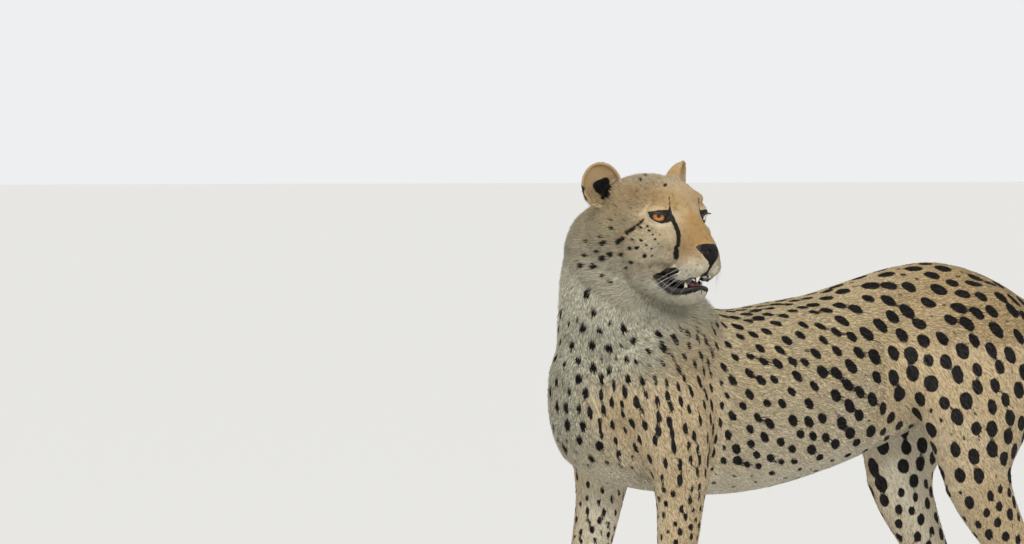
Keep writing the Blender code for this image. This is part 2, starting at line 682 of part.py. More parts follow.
def tail_parts(rest):
    """The tail in three lengths."""
    frame = Matrix.Translation(TAIL_ROOT[0]) @ Matrix.Rotation(math.radians(TAIL_ROOT[1]), 4, "X")
    half = Vector((0.050, 0.350, 0.700))
    tail = parted(rest, "tail_root", Vector((0.0, 0.350, -0.400)), half, frame)
    pieces = [tail]
    for name, (height, tilt, along) in zip(("tail_middle", "tail_tip"), TAIL_CUTS):
        frame = Matrix.Translation((0.02, along, height)) @ Matrix.Rotation(math.radians(tilt), 4, "X")
        half = Vector((0.060, 0.300, 0.300))
        pieces.append(parted(pieces[-1], name, Vector((0, 0, -0.300)), half, frame))
    return pieces


def coloured(obj):
    """The object with its own material."""
    for start, (slot, colour, roughness) in MATERIALS.items():
        if obj.name.startswith(start):
            break
    if "_claw_" in obj.name:
        slot, colour, roughness = MATERIALS["claw"]
    material = bpy.data.materials.new(f"{obj.name}_{slot}")
    material.use_nodes = True
    shader = material.node_tree.nodes["Principled BSDF"]
    shader.inputs["Base Color"].default_value = (*colour, 1)
    shader.inputs["Roughness"].default_value = roughness
    obj.data.materials.clear()
    obj.data.materials.append(material)


def gathered(pieces):
    """The pieces in one collection, with the middle of their underside at the origin."""
    collection = bpy.data.collections.new("cheetah")
    bpy.context.scene.collection.children.link(collection)
    corners = np.array([v.co for obj in pieces for v in obj.data.vertices])
    low, high = corners.min(axis=0), corners.max(axis=0)
    shift = Matrix.Translation((-(low[0] + high[0]) / 2, -(low[1] + high[1]) / 2, -low[2]))
    for obj in pieces:
        obj.data.transform(shift)
        coloured(obj)
        bpy.context.scene.collection.objects.unlink(obj)
        collection.objects.link(obj)
    for obj in bpy.data.collections["cutters"].objects:
        obj.data.transform(shift)


def main():
    for obj in list(bpy.data.objects):
        bpy.data.objects.remove(obj)
    cutters = bpy.data.collections.new("cutters")
    cutters.hide_render = True
    bpy.context.scene.collection.children.link(cutters)
    core = fuse("core", core_forms(), CORE_VOXEL, 18)
    head = fuse("head_form", head_forms(), VOXEL, 9)
    ears = [ear(name, head_matrix()) for name in SIDES]
    whole = fuse("whole", [core, head, *ears, *leg_forms()], VOXEL, 4)
    fine = reduced(whole, HEAD_TRIANGLES)
    feet = reduced(whole, PAW_TRIANGLES)
    rest = reduced(whole, BODY_TRIANGLES)
    floor = box("floor_cutter", Vector((0, 0, SOLE - 0.1)), Vector((1, 2, 0.1)), Matrix.Identity(4))
    combined(feet, floor, "DIFFERENCE")
    pieces = head_parts(fine, rest)
    for name, side in SIDES.items():
        for start, stations, strides in (("forepaw", FOREPAW, FORE_STRIDE), ("hind_paw", HINDPAW, HIND_STRIDE)):
            foot = paw(rest, feet, f"{start}_{name}", stations, side, strides[name])
            pieces += [foot, *claws(foot, stations, side, strides[name])]
    pieces += tail_parts(rest)
    for name, side in SIDES.items():
        pieces += foreleg_parts(rest, name, side)
        pieces += hindleg_parts(rest, name, side)
    pieces.append(parted(rest, "neck", Vector((0, 0, 0.2)), Vector((0.3, 0.3, 0.2)), neck_frame()))
    pieces.append(parted(rest, "loins", Vector((0, 0.3, 0)), Vector((0.3, 0.3, 0.5)), Matrix.Translation(WAIST)))
    rest.name = "chest"
    pieces.append(rest)
    for obj in (whole, fine, feet):
        bpy.data.objects.remove(obj)
    gathered(pieces)


if __name__ == "__main__":
    main()
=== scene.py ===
"""The looks of a life-size cheetah: one skin over all its flesh, a coat in tufts, and a finished face.

Metres, +Z up. The body faces -Y and its left side is +X, as in the solids. The body's forms are those of
the solids, repeated here and then carved and dressed at a finer grain.
"""

import math

import bmesh
import bpy
import numpy as np
from mathutils import Matrix, Vector
from mathutils.bvhtree import BVHTree
from mathutils.kdtree import KDTree


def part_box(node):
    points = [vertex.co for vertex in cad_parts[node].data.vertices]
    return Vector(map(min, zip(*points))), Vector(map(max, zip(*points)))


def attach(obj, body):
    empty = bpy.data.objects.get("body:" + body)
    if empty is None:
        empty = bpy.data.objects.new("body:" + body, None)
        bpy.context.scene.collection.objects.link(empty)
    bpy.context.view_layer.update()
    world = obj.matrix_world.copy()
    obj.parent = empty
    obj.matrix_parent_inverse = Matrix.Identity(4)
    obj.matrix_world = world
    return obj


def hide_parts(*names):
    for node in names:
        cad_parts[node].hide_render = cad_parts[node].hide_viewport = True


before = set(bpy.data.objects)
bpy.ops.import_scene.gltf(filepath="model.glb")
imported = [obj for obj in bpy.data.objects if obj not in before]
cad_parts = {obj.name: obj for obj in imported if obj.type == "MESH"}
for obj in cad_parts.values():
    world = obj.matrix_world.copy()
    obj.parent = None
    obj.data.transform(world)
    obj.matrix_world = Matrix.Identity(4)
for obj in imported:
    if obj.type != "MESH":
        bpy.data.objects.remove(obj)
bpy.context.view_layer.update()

# Driving sizes of the body, in metres and degrees, as in the solids
VOXEL = 0.004
CORE_VOXEL = 0.008
SKIN_VOXEL = 0.0021  # grain of the finished skin
SKIN_TRIANGLES = 190000
EYE_RADIUS = 0.0165
EYE_PLACE = Vector((-0.0080, 0.0385, 0.0000))
BROW_POINT = Vector((0.134, -0.268, 0.878))
HEAD_TURN = 101.0
HEAD_NOD = 3.0
STRIDE_TOP = 0.62
FORE_STRIDE = {"left": 0.000, "right": -0.120}
HIND_STRIDE = {"left": 0.050, "right": -0.060}
SIDES = {"left": 1.0, "right": -1.0}

# Trunk, from the breast to the rump: y, top, bottom, half width
TRUNK = [
    (-0.410, 0.650, 0.540, 0.036),
    (-0.388, 0.695, 0.492, 0.068),
    (-0.328, 0.718, 0.460, 0.093),
    (-0.250, 0.732, 0.444, 0.102),
    (-0.180, 0.739, 0.436, 0.104),
    (-0.110, 0.731, 0.437, 0.108),
    (-0.040, 0.741, 0.445, 0.111),
    (0.040, 0.753, 0.464, 0.108),
    (0.120, 0.775, 0.490, 0.099),
    (0.185, 0.793, 0.515, 0.090),
    (0.255, 0.802, 0.545, 0.087),
    (0.310, 0.796, 0.565, 0.083),
    (0.365, 0.778, 0.590, 0.073),
    (0.410, 0.756, 0.615, 0.056),
    (0.440, 0.734, 0.640, 0.034),
]
# Neck, from the head down: x, y, z, half width, half depth, twist
NECK = [
    (0.045, -0.285, 0.910, 0.045, 0.050, 101.0),
    (0.010, -0.290, 0.878, 0.082, 0.082, 95.0),
    (-0.004, -0.296, 0.838, 0.089, 0.086, 80.0),
    (-0.006, -0.298, 0.790, 0.093, 0.091, 60.0),
    (-0.003, -0.297, 0.745, 0.098, 0.098, 38.0),
    (0.000, -0.292, 0.695, 0.101, 0.109, 18.0),
    (0.000, -0.283, 0.640, 0.097, 0.117, 5.0),
    (0.000, -0.268, 0.590, 0.080, 0.100, 0.0),
]
# Left legs, from the top down: x, y, z, half width, half depth
SHOULDER = [
    (0.044, -0.180, 0.745, 0.012, 0.030),
    (0.062, -0.202, 0.718, 0.030, 0.060),
    (0.080, -0.246, 0.672, 0.037, 0.076),
    (0.090, -0.292, 0.618, 0.039, 0.070),
    (0.092, -0.320, 0.578, 0.033, 0.052),
    (0.090, -0.334, 0.550, 0.016, 0.024),
]
FORELEG = [
    (0.070, -0.240, 0.690, 0.022, 0.035),
    (0.082, -0.252, 0.640, 0.034, 0.062),
    (0.094, -0.262, 0.580, 0.041, 0.075),
    (0.099, -0.256, 0.520, 0.039, 0.064),
    (0.098, -0.247, 0.470, 0.035, 0.050),
    (0.095, -0.246, 0.430, 0.032, 0.041),
    (0.092, -0.248, 0.380, 0.030, 0.036),
    (0.089, -0.253, 0.320, 0.026, 0.030),
    (0.086, -0.258, 0.255, 0.0220, 0.0255),
    (0.084, -0.262, 0.205, 0.0210, 0.0240),
    (0.084, -0.264, 0.178, 0.0230, 0.0260),
    (0.084, -0.266, 0.150, 0.0210, 0.0230),
    (0.083, -0.270, 0.105, 0.0200, 0.0210),
    (0.083, -0.276, 0.070, 0.0225, 0.0235),
    (0.083, -0.284, 0.045, 0.0275, 0.0285),
    (0.083, -0.290, 0.020, 0.0265, 0.0305),
]
FOREPAW = [
    (0.083, -0.246, 0.018, 0.014, 0.014),
    (0.083, -0.258, 0.022, 0.027, 0.024),
    (0.083, -0.285, 0.025, 0.034, 0.029),
    (0.083, -0.312, 0.022, 0.035, 0.025),
    (0.083, -0.330, 0.016, 0.027, 0.017),
]
HINDLEG = [
    (0.050, 0.315, 0.762, 0.022, 0.050),
    (0.068, 0.312, 0.712, 0.038, 0.105),
    (0.083, 0.298, 0.645, 0.047, 0.142),
    (0.091, 0.290, 0.575, 0.048, 0.120),
    (0.094, 0.282, 0.515, 0.044, 0.087),
    (0.095, 0.280, 0.465, 0.040, 0.063),
    (0.094, 0.293, 0.425, 0.035, 0.053),
    (0.092, 0.320, 0.375, 0.031, 0.043),
    (0.089, 0.354, 0.320, 0.0255, 0.034),
    (0.086, 0.386, 0.272, 0.0215, 0.0275),
    (0.084, 0.408, 0.235, 0.0210, 0.0290),
    (0.083, 0.415, 0.195, 0.0195, 0.0250),
    (0.082, 0.410, 0.150, 0.0185, 0.0215),
    (0.081, 0.402, 0.100, 0.0185, 0.0205),
    (0.080, 0.394, 0.065, 0.0215, 0.0230),
    (0.080, 0.386, 0.042, 0.0260, 0.0275),
    (0.080, 0.378, 0.020, 0.0255, 0.0295),
]
HINDPAW = [
    (0.080, 0.420, 0.017, 0.013, 0.013),
    (0.080, 0.408, 0.021, 0.025, 0.022),
    (0.080, 0.382, 0.024, 0.032, 0.027),
    (0.080, 0.354, 0.021, 0.033, 0.024),
    (0.080, 0.336, 0.015, 0.025, 0.016),
]
TOES = [(-0.0250, 0.017), (-0.0088, 0.028), (0.0088, 0.029), (0.0250, 0.019)]
TOE_RADIUS = 0.0115
FORE_KNOBS = [
    ((0.098, -0.218, 0.478), (0.024, 0.024, 0.034)),
    ((0.085, -0.245, 0.168), (0.012, 0.011, 0.018)),
]
HIND_KNOBS = [
    ((0.095, 0.248, 0.462), (0.030, 0.026, 0.040)),
    ((0.084, 0.424, 0.246), (0.015, 0.015, 0.026)),
]
# Tail, from its root to its tip: x, y, z, half width, half depth
TAIL = [
    (0.000, 0.395, 0.722, 0.034, 0.036),
    (0.000, 0.438, 0.700, 0.035, 0.036),
    (0.002, 0.484, 0.655, 0.030, 0.031),
    (0.006, 0.520, 0.585, 0.025, 0.026),
    (0.012, 0.540, 0.500, 0.0225, 0.0235),
    (0.017, 0.552, 0.415, 0.0215, 0.0225),
    (0.020, 0.568, 0.330, 0.0220, 0.0230),
    (0.021, 0.598, 0.255, 0.0240, 0.0250),
    (0.021, 0.648, 0.205, 0.0260, 0.0270),
    (0.020, 0.708, 0.195, 0.0265, 0.0275),
    (0.018, 0.760, 0.215, 0.0230, 0.0240),
    (0.016, 0.792, 0.240, 0.0120, 0.0130),
]
# Head, in its own frame of forward, left and up: skull and jaw as forward, top, bottom, half width
SKULL = [
    (0.079, -0.050, -0.070, 0.010),
    (0.074, -0.041, -0.082, 0.021),
    (0.061, -0.028, -0.091, 0.028),
    (0.045, -0.012, -0.094, 0.031),
    (0.028, 0.008, -0.093, 0.032),
    (0.012, 0.032, -0.090, 0.036),
    (-0.004, 0.049, -0.088, 0.054),
    (-0.022, 0.055, -0.087, 0.066),
    (-0.050, 0.059, -0.087, 0.070),
    (-0.080, 0.060, -0.085, 0.074),
    (-0.110, 0.055, -0.078, 0.071),
    (-0.138, 0.040, -0.065, 0.058),
    (-0.158, 0.012, -0.045, 0.032),
]
JAW = [
    (0.059, -0.112, -0.120, 0.008),
    (0.053, -0.106, -0.125, 0.018),
    (0.040, -0.103, -0.134, 0.024),
    (0.020, -0.098, -0.140, 0.031),
    (-0.005, -0.090, -0.139, 0.042),
    (-0.030, -0.080, -0.133, 0.052),
    (-0.058, -0.070, -0.125, 0.057),
    (-0.090, -0.060, -0.112, 0.050),
]
HEAD_BULGES = [
    ((-0.046, 0.044, -0.042), (0.052, 0.032, 0.048)),
    ((0.046, 0.021, -0.076), (0.025, 0.019, 0.021)),
    ((-0.006, 0.0320, 0.0235), (0.0165, 0.0180, 0.0130)),
    ((-0.086, 0.040, 0.016), (0.042, 0.031, 0.036)),
    ((-0.100, 0.055, -0.045), (0.050, 0.034, 0.058)),
    ((0.056, 0.000, -0.060), (0.0255, 0.0235, 0.0260)),
    ((0.000, 0.042, -0.032), (0.018, 0.019, 0.021)),
]
EAR_PLACE = {"left": Vector((-0.083, 0.077, 0.041)), "right": Vector((-0.100, -0.076, 0.038))}
EAR_RADII = (0.016, 0.032, 0.038)
EAR_SIZE = 0.945  # of the finished ear, whose rim then gets a rounded edge
EAR_HOLLOW = 0.62  # how deep its cup is, as a share of its wall's depth
EAR_SPLAY = 40.0
EAR_LEAN = {"left": 4.0, "right": 12.0}

# Eyes: how far the gaze points outward and down, the slant of the lids, and the opening between them
EYE_OUT = 34.0
EYE_DOWN = 10.0
LID_SLANT = 11.0
LID_HALF_WIDTH = 0.0124
LID_UP = 0.0050
LID_DOWN = 0.0072
IRIS_RADIUS = 0.0092
PUPIL_RADIUS = 0.0027

# Parts of the body by the starts of their nodes' names
HEAD_PARTS = ("head", "lower_jaw", "nose", "eye", "tongue")
TRUNK_PARTS = ("chest", "loins")
LOW_LEG_PARTS = ("forearm", "forepaw", "shank", "hind_foot", "hind_paw")
LEG_PARTS = ("upper_foreleg", "thigh", *LOW_LEG_PARTS)
TAIL_PARTS = ("tail_root", "tail_middle", "tail_tip")
# Coat of each part: depth, hair length, tuft width, lift in degrees. The head's is worked out at each place
COAT = {
    **dict.fromkeys(HEAD_PARTS, (0.0, 0.0, 0.0, 0.0)),
    "ear": (0.0010, 0.0026, 0.0007, 5.0),
    "neck": (0.0070, 0.0190, 0.0012, 21.0),
    "chest": (0.0030, 0.0098, 0.0013, 9.0),
    "loins": (0.0024, 0.0088, 0.0013, 8.0),
    "upper_foreleg": (0.0026, 0.0088, 0.0012, 9.0),
    "forearm": (0.0022, 0.0072, 0.0012, 9.0),
    "forepaw": (0.0016, 0.0052, 0.0010, 11.0),
    "thigh": (0.0026, 0.0088, 0.0013, 8.5),
    "shank": (0.0024, 0.0078, 0.0012, 9.0),
    "hind_foot": (0.0018, 0.0062, 0.0011, 10.0),
    "hind_paw": (0.0016, 0.0052, 0.0010, 11.0),
    "tail_root": (0.0032, 0.0095, 0.0013, 11.0),
    "tail_middle": (0.0040, 0.0115, 0.0013, 13.0),
    "tail_tip": (0.0065, 0.0180, 0.0014, 18.0),
}
# Spots of each part: radius, spacing, and how far they are drawn out along the coat. The trunk's first two
# are worked out at each place
SPOTS = {
    "neck": (0.0056, 0.0300, 1.35),
    "chest": (0.0, 0.0, 1.50),
    "loins": (0.0, 0.0, 1.45),
    "upper_foreleg": (0.0052, 0.0185, 1.60),
    "forearm": (0.0046, 0.0170, 1.40),
    "forepaw": (0.0028, 0.0130, 1.20),
    "thigh": (0.0105, 0.0295, 1.35),
    "shank": (0.0072, 0.0230, 1.35),
    "hind_foot": (0.0040, 0.0160, 1.30),
    "hind_paw": (0.0028, 0.0130, 1.20),
    "tail_root": (0.0086, 0.0255, 1.20),
    "tail_middle": (0.0086, 0.0255, 1.10),
}


def catmull_rom(rows, steps):
    """Rows of numbers along a path, with steps rows made for each stretch between two of them."""
    rows = np.array(rows, float)
    ends = np.vstack([2 * rows[0] - rows[1], rows, 2 * rows[-1] - rows[-2]])
    made = []
    for i in range(len(rows) - 1):
        a, b, c, d = ends[i : i + 4]
        for t in np.arange(steps) / steps:
            curve = (2 * a - 5 * b + 4 * c - d) * t**2 + (3 * b - a - 3 * c + d) * t**3
            made.append(0.5 * (2 * b + (c - a) * t + curve))
    return np.array(made + [rows[-1]])


def tube_mesh(centres, across, upward, segments=20, mirrored=True):
    """A closed loft as a bmesh: one ring for each centre, with across and upward as its half axes.

    Where these may be mirrored, its faces are turned outward. On a tube as thin as a hair that would fail.
    """
    rings = len(centres)
    bm = bmesh.new()
    bmesh.ops.create_cone(bm, cap_ends=True, segments=segments, radius1=1, radius2=1, depth=2)
    rails = [e for e in bm.edges if abs(e.verts[0].co.z - e.verts[1].co.z) > 1]
    bmesh.ops.subdivide_edges(bm, edges=rails, cuts=rings - 2)
    for v in bm.verts:
        ring = round((v.co.z + 1) / 2 * (rings - 1))
        turn = math.atan2(v.co.y, v.co.x)
        v.co = centres[ring] + math.cos(turn) * across[ring] + math.sin(turn) * upward[ring]
    if mirrored:
        bmesh.ops.recalc_face_normals(bm, faces=bm.faces)
    return bm


def in_scene(name, data):
    """A mesh, a lamp or a camera as an object in the scene."""
    obj = bpy.data.objects.new(name, data)
    bpy.context.scene.collection.objects.link(obj)
    return obj


def finished(name, bm, matrix=None):
    """The bmesh as an object in the scene. Where matrix is given, it is moved and its faces set outward."""
    if matrix is not None:
        bmesh.ops.transform(bm, matrix=matrix, verts=bm.verts)
        bmesh.ops.recalc_face_normals(bm, faces=bm.faces)
    mesh = bpy.data.meshes.new(name)
    bm.to_mesh(mesh)
    bm.free()
    return in_scene(name, mesh)


def limb(name, stations, side=1.0, stride=0.0):
    """A leg, paw or tail of stations: x, y, z, half width, half depth. Its foot is moved back by stride."""
    rows = catmull_rom(stations, 4)
    reach = np.clip(1 - rows[:, 2] / STRIDE_TOP, 0, 1)
    places = np.stack([rows[:, 0] * side, rows[:, 1] + stride * reach, rows[:, 2]], axis=1)
    run = np.gradient(places, axis=0)
    centres, across, upward = [], [], []
    for place, way, row in zip(places, run, rows):
        way = Vector(way).normalized()
        depth = way.cross(Vector((1, 0, 0))).normalized()
        centres.append(Vector(place))
        across.append(depth.cross(way).normalized() * row[3])
        upward.append(depth * row[4])
    return finished(name, tube_mesh(centres, across, upward))


def slab(name, stations, matrix, along, beside):
    """A loft along one axis, of stations of place, top, bottom and half width beside it, moved by matrix."""
    rows = catmull_rom(stations, 4)
    turn = matrix.to_3x3()
    centres = [matrix @ (along * r[0] + Vector((0, 0, (r[1] + r[2]) / 2))) for r in rows]
    across = [turn @ beside * r[3] for r in rows]
    upward = [turn @ Vector((0, 0, (r[1] - r[2]) / 2)) for r in rows]
    return finished(name, tube_mesh(centres, across, upward, 28))


def ball(name, centre, radii, matrix, detail=3):
    """An ellipsoid, moved by matrix."""
    bm = bmesh.new()
    bmesh.ops.create_icosphere(bm, subdivisions=detail, radius=1)
    sizes = Matrix.Diagonal((*radii, 1))
    bmesh.ops.transform(bm, matrix=matrix @ Matrix.Translation(centre) @ sizes, verts=bm.verts)
    if matrix.determinant() < 0:
        bmesh.ops.reverse_faces(bm, faces=bm.faces)
    return finished(name, bm)


def balls(name, rows, matrix):
    """Ellipsoids of middle and radii on the left side, and the same on the right."""
    return [
        ball(name, Vector((ahead, out * side, up)), radii, matrix)
        for side in SIDES.values()
        for (ahead, out, up), radii in rows
    ]


def body_head_matrix():
    """From the head's own frame, forward, left and up, to the body's forms."""
    turn = Matrix.Rotation(math.radians(HEAD_TURN - 90), 4, "Z")
    nod = Matrix.Rotation(math.radians(HEAD_NOD), 4, "Y")
    return Matrix.Translation(BROW_POINT) @ turn @ nod


def row_shift():
    """How far the solids were moved to stand with the middle of their footprint at the origin."""
    low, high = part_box("eye_left")
    return (Vector(low) + Vector(high)) / 2 - body_head_matrix() @ EYE_PLACE


SHIFT = row_shift()
HEAD = Matrix.Translation(SHIFT) @ body_head_matrix()
INTO_HEAD = HEAD.inverted()


def neck():
    """The loft of the neck, whose rings turn with the head."""
    centres, across, upward = [], [], []
    for x, y, z, width, depth, twist in catmull_rom(NECK, 4):
        turn = math.radians(twist)
        centres.append(Vector((x, y, z)))
        across.append(Vector((math.cos(turn), math.sin(turn), 0)) * width)
        upward.append(Vector((math.sin(turn), -math.cos(turn), 0)) * depth)
    return finished("neck_form", tube_mesh(centres, across, upward, 28))


def ear_turn(name):
    """From the ear's own frame, forward, left and up from its middle, to the model."""
    side = SIDES[name]
    lean = Matrix.Rotation(math.radians(-EAR_LEAN[name] * side), 4, "X")
    splay = Matrix.Rotation(math.radians(EAR_SPLAY * side), 4, "Z")
    return HEAD @ Matrix.Translation(EAR_PLACE[name]) @ lean @ splay


def ear_matrix(name):
    """From the ear's measures, forward, outward and up from -1 to 1 over the ear, to the model."""
    return ear_turn(name) @ Matrix.Diagonal((EAR_RADII[0], SIDES[name] * EAR_RADII[1], EAR_RADII[2], 1))


def ear(name):
    """A rounded cup: the front half of a ball is folded back into its hollow."""
    bm = bmesh.new()
    bmesh.ops.create_uvsphere(bm, u_segments=32, v_segments=24, radius=1)
    for v in bm.verts:
        if v.co.x > 0:
            v.co.x = -EAR_HOLLOW * v.co.x
    deep, wide, high = (radius * EAR_SIZE for radius in EAR_RADII)
    return finished("ear_form", bm, ear_turn(name) @ Matrix.Diagonal((2 * deep, wide, high, 1)))


def toes(paw, side, stride):
    """Four toes at the front of a paw."""
    x, y = paw[-2][:2]
    made = []
    for offset, length in TOES:
        path = [
            (x + offset * 0.8, y + 0.020, 0.020, TOE_RADIUS * 0.8, TOE_RADIUS * 0.8),
            (x + offset * 0.95, y - length * 0.2, 0.0225, TOE_RADIUS, TOE_RADIUS * 1.1),
            (x + offset, y - length * 0.8, 0.017, TOE_RADIUS, TOE_RADIUS * 1.15),
            (x + offset, y - length * 1.25, 0.012, TOE_RADIUS * 0.75, TOE_RADIUS * 0.7),
        ]
        made.append(limb("toe_form", path, side, stride))
    return made


def settled(obj):
    """The object with its modifiers made part of its mesh."""
    bpy.context.view_layer.update()
    shown = obj.evaluated_get(bpy.context.evaluated_depsgraph_get())
    bm = bmesh.new()
    bm.from_mesh(shown.data)
    obj.modifiers.clear()
    bm.to_mesh(obj.data)
    bm.free()
    return obj


def joined(name, objects):
    """These objects' meshes as one object."""
    bm = bmesh.new()
    for obj in objects:
        bm.from_mesh(obj.data)
        bpy.data.objects.remove(obj)
    return finished(name, bm)


def fuse(name, objects, voxel, smoothing):
    """One closed mesh of these forms, with the creases between them softened."""
    whole = joined(name, objects)
    remesh = whole.modifiers.new("fuse", "REMESH")
    remesh.mode = "VOXEL"
    remesh.voxel_size = voxel
    soften = whole.modifiers.new("soften", "SMOOTH")
    soften.factor = 0.5
    soften.iterations = smoothing
    return settled(whole)


def carved(obj, cutter, operation="DIFFERENCE"):
    """The object less a closed cutter, or what the two share."""
    change = obj.modifiers.new("carve", "BOOLEAN")
    change.operation = operation
    change.solver = "MANIFOLD"
    change.object = cutter
    settled(obj)
    bpy.data.objects.remove(cutter)
    return obj


def knobs(rows, side, stride):
    """Balls on a leg, moved with its stride."""
    made = []
    for centre, radii in rows:
        reach = max(0.0, 1 - centre[2] / STRIDE_TOP)
        place = Vector((centre[0] * side, centre[1] + stride * reach, centre[2]))
        made.append(ball("knob_form", place, radii, Matrix.Identity(4)))
    return made


def core_forms():
    """The trunk with the neck and the thick upper ends of the legs."""
    trunk = slab("trunk_form", TRUNK, Matrix.Identity(4), Vector((0, 1, 0)), Vector((1, 0, 0)))
    forms = [trunk, neck(), limb("tail_form", TAIL[:5])]
    for name, side in SIDES.items():
        forms.append(limb("shoulder_form", SHOULDER, side))
        forms.append(limb("foreleg_form", FORELEG[:6], side, FORE_STRIDE[name]))
        forms.append(limb("hindleg_form", HINDLEG[:7], side, HIND_STRIDE[name]))
    return forms


def leg_forms():
    """The tail, and the legs down to their toes."""
    forms = [limb("tail_form", TAIL[2:])]
    for name, side in SIDES.items():
        fore, hind = FORE_STRIDE[name], HIND_STRIDE[name]
        forms.append(limb("foreleg_form", FORELEG[4:], side, fore))
        forms.append(limb("hindleg_form", HINDLEG[5:], side, hind))
        forms.extend(knobs(FORE_KNOBS, side, fore))
        forms.extend(knobs(HIND_KNOBS, side, hind))
        for paw, stride in ((FOREPAW, fore), (HINDPAW, hind)):
            forms.append(limb("paw_form", paw, side, stride))
            forms.extend(toes(paw, side, stride))
    return forms


def head_forms():
    """The skull, the jaw and the swellings of the brow, the cheek and the muzzle."""
    matrix = body_head_matrix()
    axes = (matrix, Vector((1, 0, 0)), Vector((0, 1, 0)))
    lofts = [slab("skull_form", SKULL, *axes), slab("jaw_form", JAW, *axes)]
    return lofts + balls("bulge_form", HEAD_BULGES, matrix)


# --- Measures of the coat over the body ---

KINDS = sorted(COAT)
COAT_ROWS = np.array([COAT[kind] for kind in KINDS])
SPOT_ROWS = np.array([SPOTS.get(kind, (0.0, 0.030, 1.0)) for kind in KINDS])
DEPTH, LENGTH, WIDTH, LIFT = range(4)
RANDOM = np.random.default_rng(17)


def kind_of(name):
    """Which row of the coat's measures a solid's name belongs to."""
    return KINDS.index(max((kind for kind in KINDS if name.startswith(kind)), key=len))


def solid_tree():
    """A search tree over the faces of all the solids, and the kind of each face's solid."""
    corners, faces, kinds = [], [], []
    for name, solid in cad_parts.items():
        start = len(corners)
        corners.extend(v.co.copy() for v in solid.data.vertices)
        faces.extend([start + i for i in p.vertices] for p in solid.data.polygons)
        kinds.extend([kind_of(name)] * len(solid.data.polygons))
    return BVHTree.FromPolygons(corners, faces), np.array(kinds)


SOLID_TREE, SOLID_KINDS = solid_tree()


def kinds_at(places):
    """The kind of the solid nearest to each place. The foot of the neck has the shoulders' coat."""
    kinds = SOLID_KINDS[[SOLID_TREE.find_nearest(p)[2] for p in places]]
    foot = (bib_edge(places) > 0) & (places[:, 2] < 0.815)
    kinds[is_kind(kinds, "neck") & foot] = KINDS.index("chest")
    return kinds


def bib_edge(places):
    """How far each place lies behind the slanted edge of the long grey coat on the neck and the breast."""
    return places[:, 1] - SHIFT.y - 0.42 * places[:, 2] + 0.562


def bib(places):
    """1 on the long grey coat of the neck and the breast, and 0 behind it and below it."""
    return ramp(bib_edge(places), 0.002, -0.028) * ramp(places[:, 2], 0.42, 0.56)


def is_kind(kinds, *names):
    """Where the kind is one of these."""
    return np.isin(kinds, [KINDS.index(name) for name in names])


def ramp(values, low, high):
    """0 below low, 1 above high, and a smooth step between. It falls where high is below low."""
    t = np.clip((values - low) / (high - low), 0, 1)
    return t * t * (3 - 2 * t)


def moved(places, matrix):
    """The places, moved by matrix."""
    turn = np.array(matrix)
    return places @ turn[:3, :3].T + turn[:3, 3]


def in_head(places):
    """Places in the head's frame: forward, left and up."""
    return moved(places, INTO_HEAD)


def unit(vectors):
    """The vectors, each of length 1."""
    return vectors / np.maximum(np.linalg.norm(vectors, axis=1, keepdims=True), 1e-9)


def coat_measures(kinds, places):
    """The coat's measures at each place. On the face it grows shorter and finer towards the nose."""
    rows = COAT_ROWS[kinds].copy()
    ahead, _, up = in_head(places).T
    height = places[:, 2]
    chest, neck = is_kind(kinds, "chest"), is_kind(kinds, "neck")
    mane = 0.7 * bib(places)[:, None]
    rows[chest] = (rows * (1 - mane) + COAT_ROWS[KINDS.index("neck")] * mane)[chest]
    low = 0.45 * ramp(height, 0.74, 0.60)[:, None]
    rows[neck] = (rows * (1 - low) + COAT_ROWS[KINDS.index("chest")] * low)[neck]
    face = is_kind(kinds, *HEAD_PARTS)
    back = ramp(ahead, 0.030, -0.085)
    fine, full = np.array([0.0010, 0.0036, 0.00075, 11]), np.array([0.0032, 0.0098, 0.00105, 20])
    rows[face] = (fine + (full - fine) * back[:, None])[face]
    fluff = ramp(up, -0.085, -0.120) * ramp(ahead, 0.060, 0.020) * face
    rows[:, LENGTH] += 0.0055 * fluff
    rows[:, LIFT] += 7 * fluff
    ruff = neck * ramp(up, -0.160, -0.080)
    rows[:, LENGTH] *= 1 - 0.25 * ruff
    # The nape lies closer under its coat than the solid does
    nape = ramp(places[:, 0] * 0.5 + places[:, 1] * 0.866, -0.285, -0.325)
    rows[:, DEPTH] += 0.0015 * nape * ramp(height, 0.770, 0.815) * ramp(height, 0.935, 0.890)
    return rows


def gathered(items, key, width, kind=float):
    """One value of each of a mesh's items, as rows of this width."""
    values = np.empty(len(items) * width, kind)
    items.foreach_get(key, values)
    return values.reshape(-1, width)


def arrays_of(obj):
    """A mesh's places, outward directions, triangles and edges as arrays."""
    mesh = obj.data
    mesh.calc_loop_triangles()
    places, normals = gathered(mesh.vertices, "co", 3), gathered(mesh.vertices, "normal", 3)
    triangles = gathered(mesh.loop_triangles, "vertices", 3, np.int32)
    return places, normals, triangles, gathered(mesh.edges, "vertices", 2, np.int32)


def reshaped(obj, places):
    """Moves the mesh's vertices to these places."""
    obj.data.vertices.foreach_set("co", places.ravel())
    obj.data.update()


def evened(values, edges, rounds):
    """Values at the vertices, evened out with their neighbours'."""
    here = np.concatenate([edges[:, 0], edges[:, 1]])
    there = np.concatenate([edges[:, 1], edges[:, 0]])
    share = np.maximum(np.bincount(here, minlength=len(values)), 1)
    for _ in range(rounds):
        around = [np.bincount(here, column[there], len(values)) / share for column in values.T]
        values = 0.5 * values + 0.5 * np.stack(around, axis=1)
    return values


# --- Eyes: frames, lids and openings ---


def eye_middle(side):
    """The middle of an eye in the head's frame."""
    return Vector((EYE_PLACE.x, EYE_PLACE.y * side, EYE_PLACE.z))


